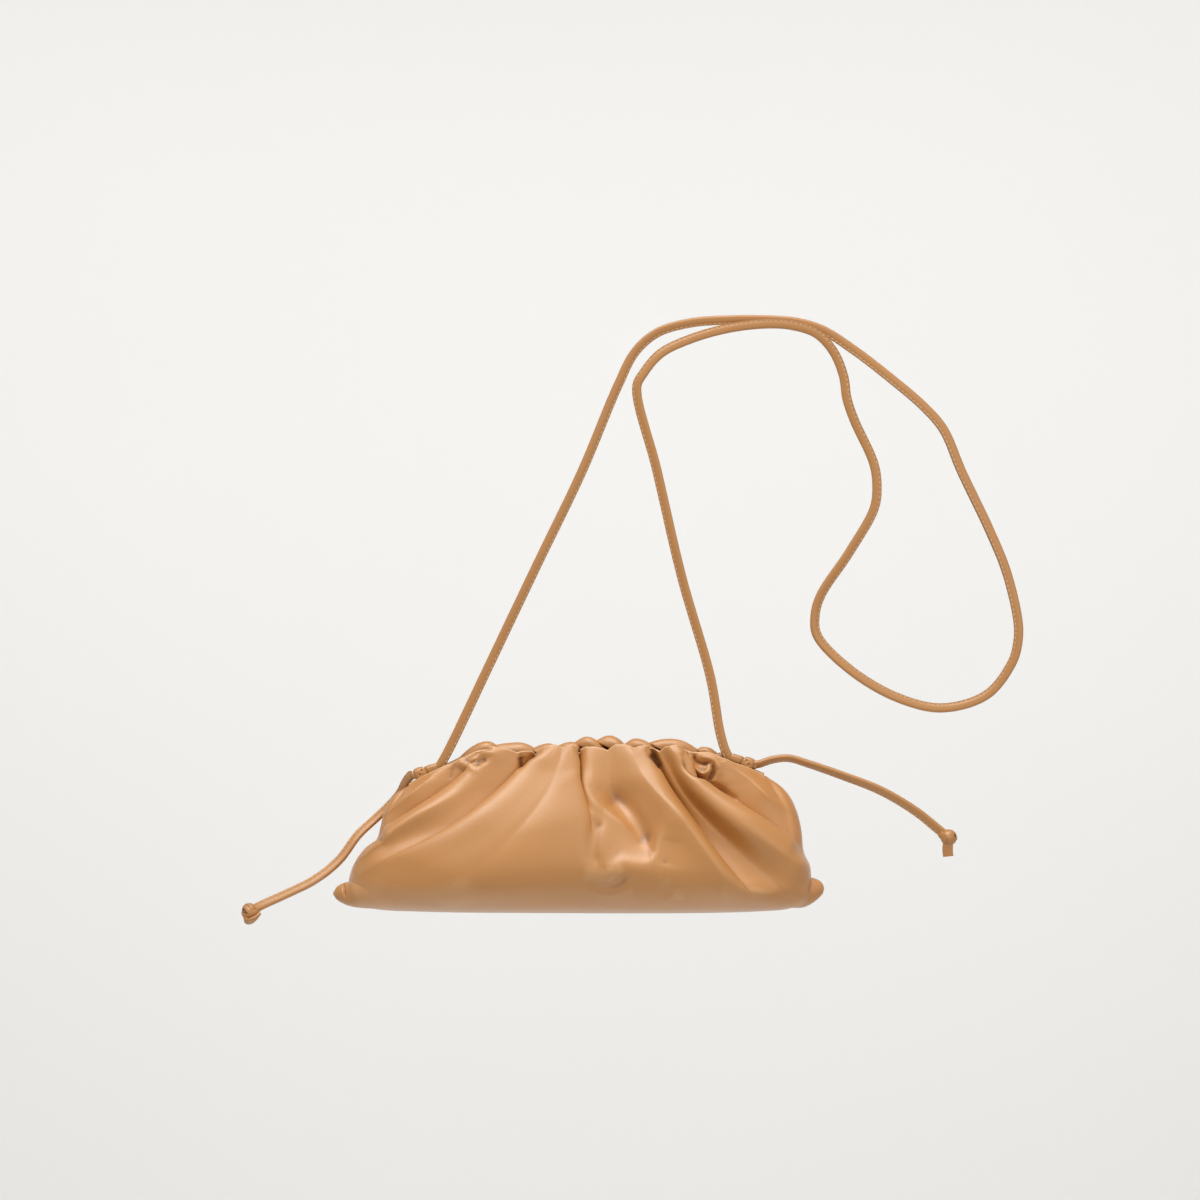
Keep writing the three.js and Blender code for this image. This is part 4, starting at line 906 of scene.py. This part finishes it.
def tidy(piece):
    """Merges doubled points and lets the faces point outwards."""
    select_only(piece)
    bpy.ops.object.mode_set(mode="EDIT")
    bpy.ops.mesh.select_all(action="SELECT")
    bpy.ops.mesh.remove_doubles(threshold=1e-6)
    bpy.ops.mesh.normals_make_consistent(inside=False)
    bpy.ops.object.mode_set(mode="OBJECT")


def band(centre, size, tilt, phase, width, thickness, weave):
    """A closed band of lace round a knot. tilt: of its plane about X and Y, in degrees."""
    steps = 72
    turn = np.linspace(0, 2 * math.pi, steps, endpoint=False)
    a, b = math.radians(tilt[0]), math.radians(tilt[1])
    normal = np.array([math.sin(b) * math.cos(a), math.sin(a), math.cos(b) * math.cos(a)])
    first = unit(np.cross(normal, np.array([0.31, 0.12, 0.94])))
    second = np.cross(normal, first)
    reach = 1 + weave * np.sin(2 * turn + phase)
    line = (first * np.cos(turn)[:, None] + second * np.sin(turn)[:, None]) * reach[:, None] * np.array(size)
    out = unit(line)
    tangent = unit(np.roll(line, -1, axis=0) - np.roll(line, 1, axis=0))
    wide = unit(np.cross(tangent, out))
    section = [(-1, -0.6), (-1, 0.4), (-0.7, 0.9), (0, 1.08), (0.7, 0.9), (1, 0.4), (1, -0.6), (0, -1)]
    ring = np.array(section) * [width / 2, thickness / 2]
    grid = line[:, None] + wide[:, None] * ring[None, :, :1] + out[:, None] * ring[None, :, 1:]
    faces = grid_faces(steps, len(section), closed_rows=True, closed_columns=True)
    points = grid.reshape(-1, 3)
    # painted shade on the sides of the band and underneath, where it lies on the core
    tone = np.tile([0.6, 0.2, -0.1, -0.4, -0.1, 0.2, 0.6, 0.6], steps)
    return points + centre, outward_faces(points, faces), tone


def strip(route, turns, width, thickness, taper=1.0):
    """A short flat end of the lace along a route, narrowed to a tip where taper is under 1."""
    points, _ = even_points(route, 0.5)
    frames = lace_frames(points, turns)
    share = np.linspace(0, 1, len(points))
    narrow = 1 - (1 - taper) * ease((share - 0.4) / 0.6)
    _, wide, through = frames
    section = np.array([(-1, 0), (-0.96, 0.7), (-0.8, 1), (0.8, 1), (0.96, 0.7), (1, 0), (0.96, -0.7), (0.8, -1),
                        (-0.8, -1), (-0.96, -0.7)])
    ring = section * [width / 2, thickness / 2]
    grid = (points[:, None] + wide[:, None] * ring[None, :, :1] * narrow[:, None, None]
            + through[:, None] * ring[None, :, 1:])
    verts = grid.reshape(-1, 3)
    tone = [0.5, 0.2] + [-0.2] * 2 + [0.2, 0.5, 0.2] + [-0.2] * 2 + [0.2]
    return verts, outward_faces(verts, tube_faces(len(points), len(section))), np.tile(tone, len(points))


def core(centre, size):
    """The hidden middle of a knot."""
    turns, rows, pole = 24, 14, 0.08
    polar = np.linspace(pole, math.pi - pole, rows)
    around = np.linspace(0, 2 * math.pi, turns, endpoint=False)
    grid = np.stack([np.stack([np.cos(a) * np.sin(polar) * size[0], np.sin(a) * np.sin(polar) * size[1],
                               np.cos(polar) * size[2]], axis=-1) for a in around])
    faces = grid_faces(turns, rows, closed_columns=True)
    faces += [[i * rows for i in reversed(range(turns))], [i * rows + rows - 1 for i in range(turns)]]
    points = grid.reshape(-1, 3)
    # dark all over: painted shade in the middle of the knot
    return points + centre, outward_faces(points, faces), np.full(len(points), 0.9)


def joined(name, shells, replaces):
    """Closed shells as one piece."""
    points, faces, tones, start = [], [], [], 0
    for verts, quads, tone in shells:
        points.append(verts)
        faces += [[start + i for i in f] for f in quads]
        tones.append(tone)
        start += len(verts)
    piece = mesh_object(name, np.concatenate(points), faces, values={"hollow": np.concatenate(tones)},
                        material=leather("lace_nappa"), smooth=50)
    return settle(piece, replaces)


class PouchBagSettings(bpy.types.PropertyGroup):
    """Sizes that a user may change."""

    wall: bpy.props.FloatProperty(
        name="Leather wall", description="Thickness of the soft leather with its backing",
        default=0.002, min=0.001, max=0.003, unit="LENGTH")
    grain_size: bpy.props.FloatProperty(
        name="Grain size", description="Width of one cell of the leather's grain",
        default=0.0011, min=0.0003, max=0.004, unit="LENGTH")
    back_roll: bpy.props.FloatProperty(
        name="Back lip roll", description="Radius of the rolled and gathered back lip",
        default=0.0016, min=0.001, max=0.003, unit="LENGTH")
    front_roll: bpy.props.FloatProperty(
        name="Front lip roll", description="Radius of the turned edge of the front lip",
        default=0.0009, min=0.0005, max=0.002, unit="LENGTH")
    lace_width: bpy.props.FloatProperty(
        name="Lace width", description="Width of the folded lace",
        default=0.0042, min=0.003, max=0.008, unit="LENGTH")
    lace_thickness: bpy.props.FloatProperty(
        name="Lace thickness", description="Thickness of the folded lace",
        default=0.0022, min=0.001, max=0.004, unit="LENGTH")
    stitch_pitch: bpy.props.FloatProperty(
        name="Stitch pitch", description="Distance from one stitch to the next",
        default=0.0022, min=0.001, max=0.005, unit="LENGTH")
    camera_distance: bpy.props.FloatProperty(
        name="Camera distance", description="Distance of the camera from the bag",
        default=2.0, min=0.5, max=6.0, unit="LENGTH")


# What the camera sees at the bag: width of the frame and its middle, across and up from the grip, in metres.
FRAME_WIDTH = 0.5377
FRAME_MIDDLE = (-0.0125, -0.0972)


class POUCHBAG_OT_camera(bpy.types.Operator):
    """Puts the camera where the front of the bag is seen level, a little above the mouth"""

    bl_idname = "pouch_bag.camera"
    bl_label = "Camera"

    def execute(self, context):
        distance = context.scene.pouch_bag.camera_distance
        data = bpy.data.cameras.new("camera")
        data.sensor_width = 36
        data.lens = data.sensor_width * distance / FRAME_WIDTH
        camera = bpy.data.objects.new("camera", data)
        camera.location = (FRAME_MIDDLE[0], -distance, FRAME_MIDDLE[1])
        camera.rotation_euler = (math.radians(90), 0, 0)
        context.scene.collection.objects.link(camera)
        context.scene.camera = camera
        return {"FINISHED"}


class POUCHBAG_OT_laces(bpy.types.Operator):
    """Adds the end knots, the strap and its two tails with their stitching"""

    bl_idname = "pouch_bag.laces"
    bl_label = "Strap and tails"

    def execute(self, context):
        centre = np.array([-169.2, 0, -237.0])
        left = joined("left_end_knot", [
            core(centre, (3.2, 2.2, 2.6)),
            band(centre, (3.6, 2.6, 3.3), (12, 62), 0.3, 3.6, 1.3, 0.05),
            band(centre + [0.2, 0, -0.3], (3.7, 2.7, 3.1), (-24, -28), 1.6, 3.2, 1.2, 0.06),
            band(centre + [-0.6, 0, 0.6], (3.2, 2.5, 2.9), (38, 88), 2.6, 3.0, 1.2, 0.05),
            strip([(-171.6, -0.6, -240.2), (-169.6, -2.6, -241.0), (-166.9, -3.3, -239.6), (-164.6, -2.6, -237.2)],
                  [(0, 40), (1, 60)], 3.6, 1.2, 0.35),
        ], "end_knot_left")
        centre = np.array([143.4, 0, -203.3])
        right = joined("right_end_knot", [
            core(centre, (3.2, 2.2, 2.4)),
            band(centre, (3.8, 2.6, 2.7), (14, 78), 0.8, 3.8, 1.3, 0.05),
            band(centre + [-0.1, 0, 0.1], (3.7, 2.7, 3.0), (-20, 34), 2.2, 3.4, 1.2, 0.06),
            band(centre + [0.3, 0, -0.2], (3.5, 2.6, 2.8), (30, -52), 0.2, 3.0, 1.2, 0.05),
            strip([(143.6, -0.4, -203.2), (143.3, -1.0, -206.4), (143.2, -0.8, -209.4), (143.5, -0.6, -212.0)],
                  [(0, 4), (1, 10)], 4.7, 1.5),
        ], "end_knot_right")
        lace_piece("long_strap", STRAP_ROUTE, STRAP_TURNS, "shoulder_strap")
        lace_piece("left_tail", LEFT_TAIL_ROUTE, LEFT_TAIL_TURNS, "tail_left")
        lace_piece("right_tail", RIGHT_TAIL_ROUTE, RIGHT_TAIL_TURNS, "tail_right")
        return {"FINISHED"}


class POUCHBAG_OT_panels(bpy.types.Operator):
    """Adds the two gathered leather panels of the pouch"""

    bl_idname = "pouch_bag.panels"
    bl_label = "Panels"

    def execute(self, context):
        settings = context.scene.pouch_bag
        # the front lip's edge gets a strong painted highlight, the back lip's edge none
        front_roll = {"top": 0.99, "radius": settings.front_roll / MM, "lean": 0.3, "painted_highlight": -1.6,
                      "edge": FRONT_LIP}
        back_roll = {"top": 0.965, "radius": settings.back_roll / MM, "lean": 0.35, "painted_highlight": -0.1, "edge": None}
        front = panel_piece("front_leather", FRONT_FOLDS, 36, (20, 79), FRONT_DENTS, FRONT_PLEATS,
                            FRONT_OVERLAPS, front_roll, -1)
        back = panel_piece("back_leather", BACK_FOLDS, 16, (20, 61), [], [], [], back_roll, 1)
        gathers = gathers_piece("back_lip_gathers")
        for piece, node in ((front, "front_panel"), (back, "back_panel"), (gathers, "back_panel")):
            settle(piece, node)
        return {"FINISHED"}


class POUCHBAG_OT_corners(bpy.types.Operator):
    """Adds the pinched corners at both ends of the base"""

    bl_idname = "pouch_bag.corners"
    bl_label = "Pinched corners"

    def execute(self, context):
        for name, form, crease, node in (("left_pinched_corner", LEFT_CORNER, 0.953, "left_corner"),
                                         ("right_pinched_corner", RIGHT_CORNER, 0.94, "right_corner")):
            settle(corner_piece(name, form, crease), node)
        return {"FINISHED"}


class POUCHBAG_OT_strap_knots(bpy.types.Operator):
    """Adds the wrapped knots at both ends of the mouth"""

    bl_idname = "pouch_bag.strap_knots"
    bl_label = "Strap knots"

    def execute(self, context):
        strap_knot_piece("left_strap_knot", (-0.562, 0.793), (-0.673, 0.739), "strap_knot_left")
        strap_knot_piece("right_strap_knot", (0.609, 0.847), (0.718, 0.797), "strap_knot_right")
        return {"FINISHED"}


# Spread of the lights that have a grid before them, in degrees.
SOFTBOX_SPREAD = 75


class POUCHBAG_OT_stage(bpy.types.Operator):
    """Adds the pale paper sweep, the soft studio lights and the bright surroundings"""

    bl_idname = "pouch_bag.stage"
    bl_label = "Stage"

    def execute(self, context):
        bpy.ops.object.select_all(action="DESELECT")
        bpy.ops.mesh.primitive_plane_add(size=1, location=(0, 0, 0))
        paper = context.object
        paper.name = "paper_sweep"
        mesh = paper.data
        # it stays outside the ring of viewpoints round the bag
        near, half, floor, back, far, bend = -3.2, 4.0, -2.2, 2.4, 3.4, 0.8
        arc = [(near, floor), (back - bend, floor)]
        arc += [(back - bend + bend * math.sin(a), floor + bend - bend * math.cos(a))
                for a in np.linspace(0.1, math.pi / 2, 14)]
        arc += [(back, far)]
        verts = [(x, y, z) for y, z in arc for x in (-half, half)]
        mesh.clear_geometry()
        mesh.from_pydata(verts, [], [(2 * i, 2 * i + 1, 2 * i + 3, 2 * i + 2) for i in range(len(arc) - 1)])
        mesh.materials.append(painted_paper("studio_paper", "#F3F2F0"))
        bpy.ops.object.shade_smooth()

        for name, place, target, size, power in (
            ("key", (-0.65, -1.1, 1.5), (0, 0, -0.2), (1.0, 0.8), 2.8),
            ("top", (0.1, -0.5, 1.25), (0, 0, -0.2), (1.1, 0.8), 2.4),
            ("fill", (1.1, -1.8, 0.3), (0, 0, -0.2), (1.3, 1.3), 5.5),
            ("bounce", (0, -0.1, -0.9), (0, 0, -0.2), (1.4, 1.0), 1.0),
            ("paper_light", (-0.1, 0.9, 1.7), (-0.1, 2.4, -0.5), (3.2, 0.5), 12),
        ):
            data = bpy.data.lights.new(name, "AREA")
            data.shape = "RECTANGLE"
            data.size, data.size_y = size
            data.energy = power
            if name in ("key", "top", "paper_light"):
                data.spread = math.radians(SOFTBOX_SPREAD)
            lamp = bpy.data.objects.new(name, data)
            lamp.location = place
            lamp.visible_camera = False
            lamp.rotation_euler = (Vector(target) - Vector(place)).to_track_quat("-Z", "Y").to_euler()
            context.scene.collection.objects.link(lamp)

        world = bpy.data.worlds.new("bright_room")
        world.use_nodes = True
        sky = world.node_tree.nodes["Background"]
        sky.inputs["Color"].default_value = linear("#FBFBFA")
        sky.inputs["Strength"].default_value = 0.54
        context.scene.world = world
        context.scene.view_settings.view_transform = "Standard"
        return {"FINISHED"}


class POUCHBAG_PT_panel(bpy.types.Panel):
    """Sizes of the bag and the steps that build it"""

    bl_idname = "POUCHBAG_PT_panel"
    bl_label = "Leather Pouch Bag"
    bl_space_type = "VIEW_3D"
    bl_region_type = "UI"
    bl_category = "Pouch"

    def draw(self, context):
        settings = context.scene.pouch_bag
        for key in PouchBagSettings.__annotations__:
            self.layout.prop(settings, key)
        for step in STEPS:
            self.layout.operator(step.bl_idname)


STEPS = (POUCHBAG_OT_camera, POUCHBAG_OT_laces, POUCHBAG_OT_panels, POUCHBAG_OT_corners, POUCHBAG_OT_strap_knots,
         POUCHBAG_OT_stage)
CLASSES = (PouchBagSettings,) + STEPS + (POUCHBAG_PT_panel,)


def register():
    for item in CLASSES:
        bpy.utils.register_class(item)
    bpy.types.Scene.pouch_bag = bpy.props.PointerProperty(type=PouchBagSettings)


def unregister():
    del bpy.types.Scene.pouch_bag
    for item in reversed(CLASSES):
        bpy.utils.unregister_class(item)


def main():
    register()
    bpy.ops.pouch_bag.camera()
    bpy.ops.pouch_bag.laces()
    bpy.ops.pouch_bag.panels()
    bpy.ops.pouch_bag.corners()
    bpy.ops.pouch_bag.strap_knots()
    bpy.ops.pouch_bag.stage()


if __name__ == "__main__":
    main()
